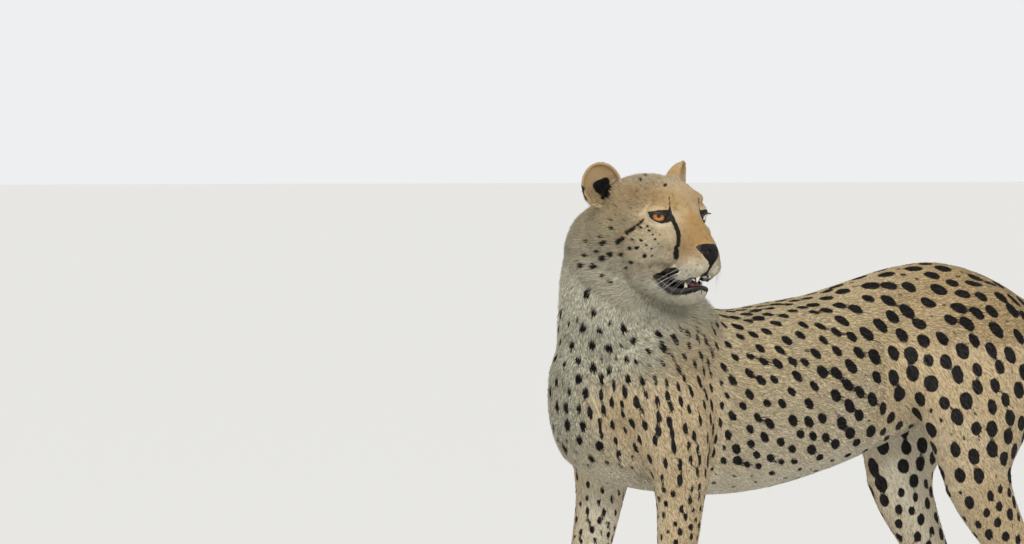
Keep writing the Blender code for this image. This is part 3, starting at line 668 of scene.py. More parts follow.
def eye_frame(side):
    """The eye's frame: x along the slanted lids towards the nose, y up across them, z along the gaze."""
    out, down, slant = math.radians(EYE_OUT), math.radians(EYE_DOWN), math.radians(LID_SLANT)
    gaze = Vector((math.cos(out) * math.cos(down), side * math.sin(out) * math.cos(down), -math.sin(down)))
    inward = Vector((math.sin(out), -side * math.cos(out), 0))
    upward = gaze.cross(inward) * -side
    if upward.z < 0:
        upward.negate()
    lid = inward * math.cos(slant) - upward * math.sin(slant)
    rise = upward * math.cos(slant) + inward * math.sin(slant)
    turn = Matrix((lid, rise, gaze)).transposed().to_4x4()
    return HEAD @ Matrix.Translation(eye_middle(side)) @ turn


def lid_outline(steps=28):
    """The almond of the lids' edges in the eye's frame, once round from the inner corner."""
    points = []
    for i in range(steps):
        turn = 2 * math.pi * i / steps
        rise = math.sin(turn)
        height = LID_UP if rise > 0 else LID_DOWN
        lean = 0.0016 * (1 if rise > 0 else -0.6)  # the highest and lowest points lie off the middle
        along = LID_HALF_WIDTH * math.cos(turn) + lean * abs(rise)
        points.append(Vector((along, height * rise * abs(rise) ** 0.25, 0)))
    return points


def on_ball(point, radius):
    """The point moved along the gaze on to a ball round the eye's middle."""
    return Vector((point.x, point.y, math.sqrt(max(radius**2 - point.x**2 - point.y**2, 0))))


def lid_opening(side):
    """The cutter of the opening between the lids, a little wider outside than inside."""
    bm = bmesh.new()
    outline = lid_outline()
    bmesh.ops.create_cone(bm, cap_ends=True, segments=len(outline), radius1=1, radius2=1, depth=2)
    for v in bm.verts:
        turn = math.atan2(v.co.y, v.co.x) % (2 * math.pi)
        point = outline[round(turn / (2 * math.pi) * len(outline)) % len(outline)]
        grown = 1.25 if v.co.z > 0 else 0.9
        v.co = Vector((point.x * grown, point.y * grown, 0.034 if v.co.z > 0 else 0.0085))
    return finished("lid_cutter", bm, eye_frame(side))


def rod(name, points, radii, segments=10):
    """A tube through these points, of these radii."""
    points = [Vector(p) for p in points]
    centres, across, upward = [], [], []
    side = None
    for i, point in enumerate(points):
        way = (points[min(i + 1, len(points) - 1)] - points[max(i - 1, 0)]).normalized()
        if side is None:
            side = way.orthogonal().normalized()
        side = (side - way * side.dot(way)).normalized()
        centres.append(point)
        across.append(side * radii[i])
        upward.append(way.cross(side) * radii[i])
    return finished(name, tube_mesh(centres, across, upward, segments, mirrored=False))


def lip_rod(name, rows):
    """A smooth rod round the mouth, from rows of forward, left, up and radius on its left side."""
    rows = catmull_rom(rows + [(ahead, -out, up, radius) for ahead, out, up, radius in rows[-2::-1]], 4)
    return rod(name, [HEAD @ Vector(row[:3]) for row in rows], rows[:, 3], 12)


# --- Mouth ---

# Edges of the lips where the mouth is open, forward and up, from the corner to beyond the front
UPPER_LIP = [
    (-0.012, -0.0953),
    (0.010, -0.0950),
    (0.022, -0.0985),
    (0.034, -0.1020),
    (0.045, -0.0985),
    (0.056, -0.0945),
    (0.068, -0.0915),
    (0.090, -0.0910),
]
LOWER_LIP = [
    (-0.012, -0.0957),
    (0.005, -0.1030),
    (0.018, -0.1110),
    (0.033, -0.1135),
    (0.045, -0.1110),
    (0.055, -0.1090),
    (0.090, -0.1090),
]
MOUTH_ROOM = ((0.016, 0.0, -0.101), (0.041, 0.021, 0.016))


def lip_height(ahead, edge):
    """The height of a lip's edge at these places ahead."""
    rows = np.array(edge)
    return np.interp(ahead, rows[:, 0], rows[:, 1])


def swept(name, outline, way):
    """A closed outline in the head's frame, swept along this way."""
    bm = bmesh.new()
    face = bm.faces.new([bm.verts.new(point) for point in outline])
    made = bmesh.ops.extrude_face_region(bm, geom=[face])["geom"]
    bmesh.ops.translate(bm, vec=Vector(way), verts=[v for v in made if isinstance(v, bmesh.types.BMVert)])
    bmesh.ops.triangulate(bm, faces=bm.faces)
    return finished(name, bm, HEAD)


def mouth_opening():
    """The cutter of the gap between the lips, across the whole jaw."""
    rounded = [*catmull_rom(UPPER_LIP, 3), *catmull_rom(LOWER_LIP, 3)[:0:-1]]
    return swept("mouth_cutter", [(ahead, -0.09, up) for ahead, up in rounded], (0, 0.18, 0))


# Forms that finish the face, in the head's frame, on each side: middle and radii
FACE_FORMS = [
    ((0.032, 0.0240, -0.0870), (0.023, 0.0125, 0.0140)),  # whisker pad
    ((0.0540, 0.0150, -0.0790), (0.019, 0.0120, 0.0150)),  # front of the upper lip
]


def finer_forms():
    """The forms that only the skin has: ears, lids, whisker pads."""
    forms = balls("face_form", FACE_FORMS, HEAD)
    for name, side in SIDES.items():
        forms.append(ear(name))
        turn, rim = ear_matrix(name), []
        for step in range(25):
            angle = math.radians(-60 + 12.5 * step)
            rim.append(turn @ Vector((-0.30, 0.915 * math.cos(angle), 0.915 * math.sin(angle))))
        forms.append(rod("rim_form", rim, [0.0023] * 25))
        forms.append(ball("lid_form", eye_middle(side), [EYE_RADIUS + 0.0022] * 3, HEAD, 4))
    return forms


def thinned(obj, triangles, fineness):
    """The object with about this many triangles, the smaller the higher the fineness. At 1 they all stay."""
    places, normals, _, _ = arrays_of(obj)
    # A trace of roughness keeps flat stretches from losing all their triangles
    rough = RANDOM.uniform(-0.00003, 0.00003, len(places))
    reshaped(obj, places + normals * rough[:, None])
    group = obj.vertex_groups.new(name="fineness")
    steps = 20
    for level in range(1, steps + 1):
        chosen = np.nonzero(np.round(fineness * steps) == level)[0]
        group.add(chosen.tolist(), level / steps, "REPLACE")
    thin = obj.modifiers.new("thin", "DECIMATE")
    thin.ratio = triangles / len(obj.data.loop_triangles)
    thin.use_collapse_triangulate = True
    thin.vertex_group = "fineness"
    thin.invert_vertex_group = True
    thin.vertex_group_factor = 1.0
    settled(obj)
    obj.vertex_groups.clear()
    return obj


def body_skin():
    """The one skin over all the flesh, inside the solids by the depth of the coat."""
    core = fuse("core", core_forms(), CORE_VOXEL, 18)
    head = fuse("head_form", head_forms(), VOXEL, 9)
    whole = fuse("whole", [core, head, *leg_forms()], VOXEL, 4)
    whole.data.transform(Matrix.Translation(SHIFT))
    places, normals, _, edges = arrays_of(whole)
    depth = coat_measures(kinds_at(places), places)[:, DEPTH]
    depth = evened(depth[:, None], edges, 12)
    reshaped(whole, places - normals * depth)
    skin = fuse("skin", [whole, *finer_forms()], SKIN_VOXEL, 2)
    carved(skin, mouth_opening())
    carved(skin, ball("room_cutter", Vector(MOUTH_ROOM[0]), MOUTH_ROOM[1], HEAD, 4))
    for side in SIDES.values():
        carved(skin, lid_opening(side))
    places = arrays_of(skin)[0]
    ahead, _, up = in_head(places).T
    near = ramp(ahead, -0.17, -0.07) * ramp(up, -0.17, -0.12) * ramp(places[:, 2], 0.66, 0.70)
    paws = ramp(places[:, 2], 0.09, 0.06) * 0.5
    thinned(skin, SKIN_TRIANGLES, np.maximum.reduce([near, paws, np.full(len(near), 0.25)]))
    places = arrays_of(skin)[0]
    places[:, 2] = np.maximum(places[:, 2], 0.0012)
    reshaped(skin, places)
    return skin


# --- Markings ---

MARK_RANGE = 0.016  # the span of distances from a mark's edge that the coat keeps

# The cheek faces outward and forward, so its marks are laid out along it: by this turn from straight ahead
CHEEK_TURN = math.radians(49)
# Dark marks as paths along the cheek, up, and radius
TEAR_LINE = [
    (-0.0178, -0.0010, 0.0050),
    (-0.0124, -0.0050, 0.0042),
    (-0.0084, -0.0129, 0.0031),
    (-0.0034, -0.0229, 0.0037),
    (-0.0010, -0.0329, 0.0035),
    (-0.0016, -0.0439, 0.0030),
    (-0.0044, -0.0499, 0.0031),
    (-0.0041, -0.0579, 0.0043),
    (-0.0040, -0.0650, 0.0036),
]
LIP_PATCH = [
    (-0.0358, -0.0950, 0.0018),
    (-0.0241, -0.0941, 0.0050),
    (-0.0124, -0.0896, 0.0078),
    (-0.0043, -0.0851, 0.0055),
]
LIP_BAND = [
    (-0.0360, -0.0965, 0.0022),
    (-0.0280, -0.1012, 0.0052),
    (-0.0164, -0.1085, 0.0088),
    (-0.0034, -0.1135, 0.0096),
    (0.0136, -0.1155, 0.0052),
    (0.0286, -0.1118, 0.0040),
    (0.0344, -0.1115, 0.0028),
]
LIP_EDGE = [
    (-0.0060, -0.0985, 0.0022),
    (0.0080, -0.1005, 0.0014),
    (0.0250, -0.0985, 0.0012),
    (0.0400, -0.0945, 0.0014),
]
BROW_STRIPE = [
    (-0.0187, 0.0292, 0.0002),
    (-0.0173, 0.0211, 0.0008),
    (-0.0166, 0.0121, 0.0012),
    (-0.0160, 0.0049, 0.0026),
]
UPPER_LID = [
    (-0.0476, 0.0004, 0.0008),
    (-0.0410, 0.0034, 0.0016),
    (-0.0330, 0.0048, 0.0022),
    (-0.0250, 0.0046, 0.0034),
    (-0.0180, 0.0020, 0.0050),
]
LOWER_LID = [
    (-0.0460, -0.0018, 0.0008),
    (-0.0400, -0.0075, 0.0009),
    (-0.0325, -0.0112, 0.0010),
    (-0.0240, -0.0110, 0.0020),
    (-0.0170, -0.0062, 0.0048),
]
# A broken line runs back and down from the outer corner of the eye
EYE_LINES = [
    [(-0.0569, -0.0090, 0.0016), (-0.0655, -0.0182, 0.0024)],
    [(-0.0695, -0.0218, 0.0026), (-0.0812, -0.0308, 0.0034)],
    [(-0.0871, -0.0401, 0.0034), (-0.0961, -0.0470, 0.0038)],
    [(-0.1160, -0.0470, 0.0034), (-0.1200, -0.0500, 0.0032)],
]
DARK_PATHS = [TEAR_LINE, LIP_PATCH, LIP_BAND, LIP_EDGE, BROW_STRIPE, UPPER_LID, LOWER_LID, *EYE_LINES]
CHEEK_SPOTS = [
    (-0.1065, -0.0131, 0.0018),
    (-0.1060, -0.0257, 0.0026),
    (-0.1231, -0.0392, 0.0020),
    (-0.1065, -0.0653, 0.0036),
    (-0.1177, -0.0725, 0.0040),
    (-0.0898, -0.0650, 0.0030),
    (-0.0650, -0.0524, 0.0025),
    (-0.0758, -0.0536, 0.0026),
    (-0.0529, -0.0644, 0.0028),
    (-0.0736, -0.0758, 0.0028),
    (-0.0808, -0.0848, 0.0021),
    (-0.1321, -0.0860, 0.0043),
    (-0.1515, -0.0869, 0.0033),
    (-0.1465, -0.0707, 0.0029),
    (-0.1267, -0.0626, 0.0026),
    (-0.1186, -0.1004, 0.0026),
    (-0.1054, -0.1094, 0.0026),
    (-0.1447, -0.0482, 0.0024),
    (-0.0592, -0.0401, 0.0019),
    (-0.0502, -0.0477, 0.0017),
    (-0.0601, -0.0207, 0.0017),
    (-0.0497, -0.0185, 0.0015),
    (-0.0475, -0.0248, 0.0014),
    (-0.0412, -0.0311, 0.0012),
    (-0.0367, -0.0374, 0.0012),
    (-0.0727, -0.0401, 0.0019),
    (-0.0421, -0.0527, 0.0014),
    (-0.0421, -0.0644, 0.0016),
    (-0.0320, -0.0440, 0.0010),
    (-0.0300, -0.0300, 0.0009),
    (-0.0860, -0.0120, 0.0012),
    (-0.0628, 0.0489, 0.0018),
    (-0.0560, 0.0560, 0.0015),
    (-0.0250, 0.0447, 0.0021),
]
# Rows of fine dots from which the whiskers grow: along the cheek, up
WHISKER_ROWS = [
    [(0.029, -0.0735), (0.022, -0.0745), (0.015, -0.0760), (0.008, -0.0775)],
    [(0.033, -0.0800), (0.026, -0.0805), (0.019, -0.0820), (0.012, -0.0835), (0.005, -0.0850)],
    [(0.030, -0.0865), (0.023, -0.0875), (0.016, -0.0890)],
]
# Warm lines down the bridge of the nose and back from the eye, and the pale line under the eye
BRIDGE_LINE = [(0.0121, 0.0216, 0.0020), (0.0188, -0.0003, 0.0024), (0.0240, -0.0157, 0.0030)]
EYE_TO_CHEEK = [(-0.0500, -0.0020, 0.0015), (-0.0900, -0.0400, 0.0020)]
UNDER_EYE = [
    (-0.0490, -0.0030, 0.0016),
    (-0.0410, -0.0098, 0.0020),
    (-0.0325, -0.0142, 0.0022),
    (-0.0230, -0.0165, 0.0020),
    (-0.0160, -0.0150, 0.0014),
]
# Rings of the tail: their middle and half their width, as shares of the tail
TAIL_RINGS = [(0.66, 0.010), (0.715, 0.012), (0.775, 0.015), (0.84, 0.018), (0.91, 0.024)]
EAR_FOLD = [(0.98, -0.05, 0.09), (0.92, -0.48, 0.19), (0.68, -0.90, 0.25)]


def from_cheek(places, normals):
    """How far along the cheek and up each place lies, and whether the coat there faces out from it."""
    ahead, out, up = in_head(places).T
    facing = normals @ np.array(INTO_HEAD)[:3, :3].T
    forward, outward = math.cos(CHEEK_TURN), math.sin(CHEEK_TURN)
    along = forward * ahead - outward * np.abs(out)
    towards = outward * facing[:, 0] + forward * facing[:, 1] * np.where(out < 0, -1, 1)
    return along, up, towards > 0


def wobble(places, size, seed):
    """A soft irregular swell between -1 and 1 with patches of about this size."""
    waves = np.random.default_rng(seed)
    total = np.zeros(len(places))
    for _ in range(7):
        way = waves.normal(size=3)
        way *= 2 * math.pi / (size * waves.uniform(1.4, 2.6)) / np.linalg.norm(way)
        total += np.sin(places @ way + waves.uniform(0, 2 * math.pi))
    return total / 3.2


def from_path(ahead, up, path):
    """Distance outside a path of forward, up and radius. It is negative on the path."""
    rows = catmull_rom(path, 5)
    nearest = np.full(len(ahead), 1.0)
    for a, b in zip(rows[:-1], rows[1:]):
        run = b[:2] - a[:2]
        along = np.clip(((ahead - a[0]) * run[0] + (up - a[1]) * run[1]) / max(run @ run, 1e-12), 0, 1)
        gap = np.hypot(ahead - a[0] - along * run[0], up - a[1] - along * run[1])
        nearest = np.minimum(nearest, gap - (a[2] + (b[2] - a[2]) * along))
    return nearest


TAIL_PATH = catmull_rom(TAIL, 8)[:, :3] + np.array(SHIFT)
TAIL_RUN = unit(np.gradient(TAIL_PATH, axis=0))


def tail_step(places):
    """The step of the tail's path that lies nearest to each place."""
    return np.argmin(((places[:, None, :] - TAIL_PATH[None]) ** 2).sum(axis=2), axis=1)


def tail_place(places):
    """How far along the tail each place lies, from 0 at its root to 1 at its tip."""
    steps = np.concatenate([[0], np.cumsum(np.linalg.norm(np.diff(TAIL_PATH, axis=0), axis=1))])
    return steps[tail_step(places)] / steps[-1]


def scattered(places, triangles, weights, count):
    """Random places on the triangles: each one's triangle and its shares of the triangle's corners."""
    a, b, c = (places[triangles[:, i]] for i in range(3))
    areas = np.linalg.norm(np.cross(b - a, c - a), axis=1) * weights
    total = np.cumsum(areas)
    picks = np.searchsorted(total, (np.arange(count) + RANDOM.random(count)) / count * total[-1])
    picks = np.minimum(picks, len(triangles) - 1)
    first = np.sqrt(RANDOM.random(count))
    second = RANDOM.random(count)
    return picks, np.stack([1 - first, first * (1 - second), first * second], axis=1)


def mixed(values, triangles, picks, shares):
    """Values at the vertices, read at places on the triangles."""
    return np.einsum("nk,nkc->nc", shares, values[triangles[picks]])


# Spots on the side of the neck that the turned head leaves bare: height, turn about the neck, radius
NECK_SPOTS = [
    (0.750, -63, 0.0070),
    (0.749, -41, 0.0052),
    (0.720, -55, 0.0056),
    (0.697, -66, 0.0062),
    (0.693, -50, 0.0050),
    (0.672, -98, 0.0055),
    (0.702, -84, 0.0036),
    (0.652, -120, 0.0052),
    (0.640, -83, 0.0052),
    (0.647, -70, 0.0056),
    (0.628, -108, 0.0052),
    (0.650, -30, 0.0052),
    (0.646, -23, 0.0032),
    (0.687, 0, 0.0066),
    (0.713, 14, 0.0062),
    (0.661, -12, 0.0050),
]


def neck_axis(heights):
    """The middle of the neck at these heights: its x and its y."""
    rows = catmull_rom(NECK, 6)[::-1]
    return [np.interp(heights, rows[:, 2] + SHIFT.z, rows[:, i] + SHIFT[i]) for i in (0, 1)]


def round_neck(places):
    """The turn of each place about the neck, in degrees."""
    x, y = neck_axis(places[:, 2])
    return np.degrees(np.arctan2(places[:, 1] - y, places[:, 0] - x))


def spot_measures(kinds, places):
    """Radius, spacing and stretch of the spots that belong at each place."""
    rows = SPOT_ROWS[kinds].copy()
    body = is_kind(kinds, *TRUNK_PARTS)
    y = places[:, 1] - SHIFT.y
    along = ramp(y, -0.17, 0.22)
    rows[body, 0] = (0.0075 + 0.0034 * along)[body]
    rows[body, 1] = (0.0240 + 0.0060 * along)[body]
    # Towards the withers the spots are small, close and drawn out along the back
    upper = (ramp(places[:, 2], 0.665, 0.745) * ramp(y, 0.12, -0.02) * body)[:, None]
    rows = rows * (1 - upper) + np.array([0.0064, 0.0195, 1.9]) * upper
    shoulder = is_kind(kinds, "chest", "upper_foreleg") & (y < -0.175)
    rows[shoulder & (places[:, 2] < 0.74)] = (0.0062, 0.0205, 2.3)
    rows[is_kind(kinds, "chest") & (bib(places) > 0.4)] = (0.0062, 0.0290, 1.30)
    return rows


def spot_centres(surface):
    """The places of the spots, each kept clear of the others, with their radii and stretch.

    A second round puts small spots between the large ones.
    """
    count = 70000
    evenly = np.ones(len(surface["triangles"]))
    picks, shares = scattered(surface["places"], surface["triangles"], evenly, count)
    order = RANDOM.permutation(count)
    picks, shares = picks[order], shares[order]
    places = mixed(surface["places"], surface["triangles"], picks, shares)
    kinds = surface["kinds"][surface["triangles"][picks, 0]]
    rows = spot_measures(kinds, places)
    turn = round_neck(places)
    near_neck = (turn > -128) & (turn < 22) & (places[:, 2] > 0.630)
    clear = (rows[:, 0] > 0) & ~is_kind(kinds, *HEAD_PARTS) & ~(is_kind(kinds, "neck") & near_neck)
    centres = []
    taken = {}  # the spots in each cell of a grid

    def cell(place):
        """The grid's cell that holds this place."""
        return tuple(math.floor(c / 0.034) for c in place)

    def crowded(place, gap, reach):
        """Whether a spot lies within the gap of this place, or its edge within reach of it."""
        x, y, z = cell(place)
        return any(
            math.dist(spot[:3], place) < max(gap, spot[3] + reach)
            for i in (x - 1, x, x + 1)
            for j in (y - 1, y, y + 1)
            for k in (z - 1, z, z + 1)
            for spot in taken.get((i, j, k), ())
        )

    def placed(place, radius, stretch):
        """Puts a spot here."""
        spot = (*place, radius, stretch)
        taken.setdefault(cell(place), []).append(spot)
        centres.append(spot)

    for height, angle, radius in NECK_SPOTS:
        axis_x, axis_y = neck_axis(height)
        way = Vector((math.cos(math.radians(angle)), math.sin(math.radians(angle)), 0))
        hit = surface["tree"].ray_cast(Vector((axis_x, axis_y, height)) + way * 0.3, -way)
        placed(hit[0], radius, 1.3)
    for place, row in zip(places[clear], rows[clear]):
        if not crowded(place, row[1] * 0.84, row[0] * 1.25 + 0.0032):
            placed(place, row[0] * RANDOM.uniform(0.90, 1.22), row[2] * RANDOM.uniform(0.9, 1.15))
    for place, row in zip(places[clear][:30000], rows[clear][:30000]):
        small = row[0] * RANDOM.uniform(0.28, 0.42)
        if row[0] > 0.0060 and not crowded(place, row[1] * 0.60, small + 0.0085):
            placed(place, small, row[2])
    return np.array(centres)


def spot_edge(places, way, centres):
    """Distance outside the nearest spot. Spots are drawn out along their way and have uneven edges."""
    tree = KDTree(len(centres))
    for i, centre in enumerate(centres):
        tree.insert(centre[:3], i)
    tree.balance()
    near = np.array([[hit[1] for hit in tree.find_n(p, 4)] for p in places])
    best = np.full(len(places), 1.0)
    for column in near.T:
        offset = places - centres[column, :3]
        along = np.einsum("nc,nc->n", offset, way)
        across = np.sqrt(np.maximum((offset**2).sum(axis=1) - along**2, 0))
        stretch = centres[column, 4] ** 0.5
        best = np.minimum(best, np.hypot(across * stretch, along / stretch) - centres[column, 3])
    return best + 0.0007 * wobble(places, 0.0080, 3) + 0.0002 * wobble(places, 0.0035, 4)


def face_marks(places, normals):
    """Distance outside the dark marks of the face."""
    along, up, near = from_cheek(places, normals)
    marks = np.full(len(places), 0.02)
    for path in DARK_PATHS:
        marks = np.minimum(marks, from_path(along, up, path))
    for middle, height, radius in CHEEK_SPOTS:
        marks = np.minimum(marks, np.hypot((along - middle) * 0.88, up - height) - 1.2 * radius)
    for row in WHISKER_ROWS:
        for middle, height in row:
            marks = np.minimum(marks, np.hypot(along - middle, up - height) - 0.0006)
    marks = np.where(near, marks, 0.02)
    ahead, out, up = in_head(places).T
    front = np.hypot((up + 0.0915) * 0.75, out) - 0.0056
    marks = np.minimum(marks, front + np.where(ahead > 0.050, 0.0, 0.02))
    return marks + 0.0006 * wobble(places, 0.004, 8)


def eye_distance(places):
    """How far along the nearer eye's gaze each place lies, and how far outside the edges of its lids."""
    apart = np.full(len(places), 1.0)
    forward = np.full(len(places), -1.0)
    rim = np.full(len(places), 1.0)
    for side in SIDES.values():
        local = moved(places, eye_frame(side).inverted())
        reach = np.hypot(local[:, 0], local[:, 1])
        height = np.where(local[:, 1] > 0, LID_UP, LID_DOWN)
        almond = np.hypot(local[:, 0] / LID_HALF_WIDTH, local[:, 1] / height)
        nearer = (local[:, 2] > 0) & (reach < apart)
        apart = np.where(nearer, reach, apart)
        forward = np.where(nearer, local[:, 2], forward)
        rim = np.where(nearer, (almond - 1) * height, rim)
    return forward, rim


def tones(places, normals, kinds):
    """How pale, warm and grey the coat is at each place, from 0 to 1. The paler top of the crown is painted
    light.
    """
    ahead, _, up = in_head(places).T
    along, _, near = from_cheek(places, normals)
    head = is_kind(kinds, *HEAD_PARTS)
    neck = is_kind(kinds, "neck")
    body = is_kind(kinds, *TRUNK_PARTS)
    legs = is_kind(kinds, *LEG_PARTS)
    low_legs = is_kind(kinds, *LOW_LEG_PARTS)
    ears = is_kind(kinds, "ear")
    tail = is_kind(kinds, *TAIL_PARTS)
    below = ramp(normals[:, 2], -0.30, -0.85)
    y = places[:, 1] - SHIFT.y

    def patch(middle, height, length, rise):
        """A soft patch along the cheek and up."""
        return np.exp(-(((along - middle) / length) ** 2) - ((up - height) / rise) ** 2) * near

    breast = bib(places)
    pale = 0.10 + 0 * ahead
    pale[body] = np.maximum(0.95 * below, 0.30 * ramp(normals[:, 2], 0.35, -0.35))[body]
    inner = ramp(normals[:, 0] * np.sign(places[:, 0] - SHIFT.x), -0.15, -0.75)
    pale[legs] = np.maximum(0.80 * inner, 0.12)[legs]
    pale[neck | body] = np.maximum(pale, 0.26 * breast)[neck | body]
    pale[neck] = np.maximum(pale, 0.62 * ramp(up, -0.02, -0.12) * ramp(normals[:, 1], 0.7, 0.1))[neck]
    pale[tail] = 0.75 * ramp(normals[tail, 1], 0.1, -0.8) * ramp(tail_place(places[tail]), 0.1, 0.4)
    pad = 0.06 * ramp(up, -0.064, -0.077) * ramp(along, -0.010, 0.006)
    front = 0.45 * ramp(ahead, 0.052, 0.062) * ramp(up, -0.056, -0.066)
    jowl = 0.42 * ramp(up, -0.040, -0.100) + 0.40 * patch(-0.045, -0.050, 0.040, 0.035)
    chin = 0.75 * ramp(up, -0.112, -0.120) * ramp(along, -0.030, 0.010)
    under_eye = 0.42 * ramp(from_path(along, up, UNDER_EYE), 0.0012, 0.0) * near
    snout = 0.20 * patch(0.004, -0.014, 0.009, 0.018)
    temple = 0.25 * patch(-0.060, -0.004, 0.016, 0.010)
    # Painted light: the top of the crown is painted paler
    crown = 0.34 * ramp(up, 0.028, 0.054)
    palest = np.maximum.reduce([pad, front, jowl, chin, under_eye, snout, temple, crown])
    pale[head] = np.clip(palest, 0, 1)[head]
    pale[ears] = 0.14

    warm = 0 * ahead
    warm[body] = (0.10 + 0.35 * ramp(y, 0.06, 0.32))[body]
    shoulder = ramp(y, -0.150, -0.200) * (1 - breast)
    warm[body | legs] = np.maximum(warm, 0.24 * shoulder)[body | legs]
    warm[legs] = np.maximum(warm, 0.34)[legs]
    warm[low_legs] = 0.48
    warm[tail] = 0.40
    orange = patch(-0.0079, 0.0157, 0.0075, 0.0100)
    bridge = 0.9 * ramp(from_path(along, up, BRIDGE_LINE), 0.0035, 0.0) * near
    snout_top = 0.95 * ramp(along, -0.012, 0.006) * ramp(up, -0.078, -0.064) * ramp(up, 0.016, -0.004)
    line = 0.85 * ramp(from_path(along, up, EYE_TO_CHEEK), 0.0045, 0.0) * near
    face = 0.32 - 0.25 * ramp(up, -0.060, -0.090)
    face += 0.35 * ramp(up, -0.002, 0.022) * ramp(along, -0.105, -0.050)
    warm[head] = np.clip(np.maximum.reduce([orange, bridge, snout_top, line, face]), 0, 1)[head]
    warm[ears] = 0.95
    warm = warm * (1 - 0.6 * pale)

    grey = 0 * ahead
    nape = ramp(0.8 * normals[:, 1] - 0.6 * normals[:, 0], -0.20, 0.60)
    grey[neck] = (0.95 - 0.60 * nape)[neck]
    grey[body] = np.maximum(0.14 * ramp(y, 0.20, -0.12), 0.85 * breast)[body]
    back_of_head = 0.55 * ramp(along, -0.045, -0.110) * ramp(up, 0.030, -0.030)
    jaw = 0.75 * ramp(up, -0.080, -0.110)
    muzzle = 0.05 + 0.30 * ramp(up, -0.064, -0.080) * ramp(along, -0.012, 0.006)
    grey[head] = np.maximum.reduce([back_of_head, jaw, muzzle])[head]
    grey[ears] = 0.03
    grey = grey * (1 - 0.9 * warm)
    return np.clip(np.stack([pale, warm, grey], axis=1), 0, 1)


def dark_edge(places, normals, kinds, way, centres):
    """Distance outside the nearest dark mark of the coat, counting the painted shade in the ears' hollows and
    folds. It is negative inside a mark.
    """
    head = is_kind(kinds, *HEAD_PARTS)
    face = head | is_kind(kinds, "neck")
    body = is_kind(kinds, *TRUNK_PARTS, "thigh", "shank", "upper_foreleg", "forearm")
    tail = is_kind(kinds, *TAIL_PARTS)
    ears = is_kind(kinds, "ear")
    y = places[:, 1] - SHIFT.y
    side = (1 - ramp(normals[:, 2], 0.55, 0.85)) * body * (1 + 1.6 * ramp(y, -0.165, -0.195))
    drawn = tangent(way + side[:, None] * np.array([0, 0, -0.9]), normals)
    edge = spot_edge(places, drawn, centres)
    edge[head | ears] = 0.02
    edge[body] += (0.0050 * ramp(normals[:, 2], -0.45, -0.90))[body]
    along = tail_place(places[tail])
    rings = np.full(len(along), 0.02)
    rough = 0.004 * wobble(places[tail], 0.02, 21)
    for middle, half in TAIL_RINGS:
        rings = np.minimum(rings, (np.abs(along + rough - middle) - half) * 0.75)
    edge[tail] = np.minimum(edge[tail] + 0.02 * ramp(along, 0.60, 0.65), rings)
    edge[face] = np.minimum(edge[face], face_marks(places[face], normals[face]))
    cups = ears | (head & (in_head(places)[:, 2] > 0.005))
    edge[cups] = np.minimum(edge[cups], ear_marks(places[cups], normals[cups], ears[cups]))
    return edge


def ear_marks(places, normals, ears):
    """Distance outside the ears' dark parts: painted shade in the hollow and in the fold at the foot of the
    rim, and the black of the back.
    """
    facing = normals @ np.array(HEAD)[:3, 0]
    marks = np.full(len(places), 0.02)
    for name in SIDES:
        forward, outward, upward = moved(places, ear_matrix(name).inverted()).T
        mine = (np.abs(outward) < 1.5) & (np.abs(upward) < 1.6) & (np.abs(forward) < 3.0)
        # Painted shade in the hollow of the ear's cup
        hollow = (np.hypot((outward + 0.04) / 0.40, (upward + 0.12) / 0.44) - 1) * 0.013
        hollow += np.where((facing > -0.35) & (forward < 0.9) & (forward > -2.2), 0, 0.02)
        # Painted shade in the fold at the foot of the rim
        fold = from_path(outward, upward, EAR_FOLD) * 0.034
        behind = (upward + 0.10) * 0.03 + np.where(facing < -0.2, 0, 0.02)
        own = np.where(ears, np.minimum(fold, behind), 0.02)
        own = np.minimum(own, hollow) + 0.0026 * wobble(places, 0.007, 14)
        marks = np.where(mine, np.minimum(marks, own), marks)
    return marks


def colouring(places, normals, kinds, way, centres, tone):
    """The coat's four values at each place: how dark, pale, warm and grey."""
    edge = dark_edge(places, normals, kinds, way, centres)
    patchy = wobble(places, 0.05, 11) * 0.05 + wobble(places, 0.018, 12) * 0.04
    dark = np.clip(0.5 - edge / MARK_RANGE, 0, 1)
    return np.clip(np.column_stack([dark, tone + patchy[:, None]]), 0, 1)


# --- Lie of the coat ---


def lie_of_coat(places, normals, kinds):
    """The way the coat is combed at each place."""
    way = np.tile([0.0, 1.0, -0.30], (len(places), 1))
    body = is_kind(kinds, "chest")
    front = ramp(normals[:, 1], -0.2, -0.9)
    way[body] = np.stack([0 * front, 1 - 0.9 * front, -0.35 - 0.65 * front], axis=1)[body]
    way[is_kind(kinds, "upper_foreleg")] = (0.0, 0.40, -1.0)
    way[is_kind(kinds, "thigh")] = (0.0, 0.55, -1.0)
    way[is_kind(kinds, "neck", "forearm", "shank", "hind_foot")] = (0.0, 0.18, -1.0)
    way[is_kind(kinds, "forepaw", "hind_paw")] = (0.0, -1.0, -0.45)
    head = is_kind(kinds, *HEAD_PARTS)
    nose = np.array(HEAD @ Vector((0.080, 0, -0.052)))
    way[head] = unit(places - nose)[head]
    for name in SIDES:
        base = np.array(HEAD @ (EAR_PLACE[name] - Vector((0.012, 0, 0.048))))
        ear_here = is_kind(kinds, "ear") & (np.linalg.norm(places - base, axis=1) < 0.11)
        way[ear_here] = unit(places - base)[ear_here]
    tail = is_kind(kinds, *TAIL_PARTS)
    way[tail] = TAIL_RUN[tail_step(places[tail])]
    return unit(way)


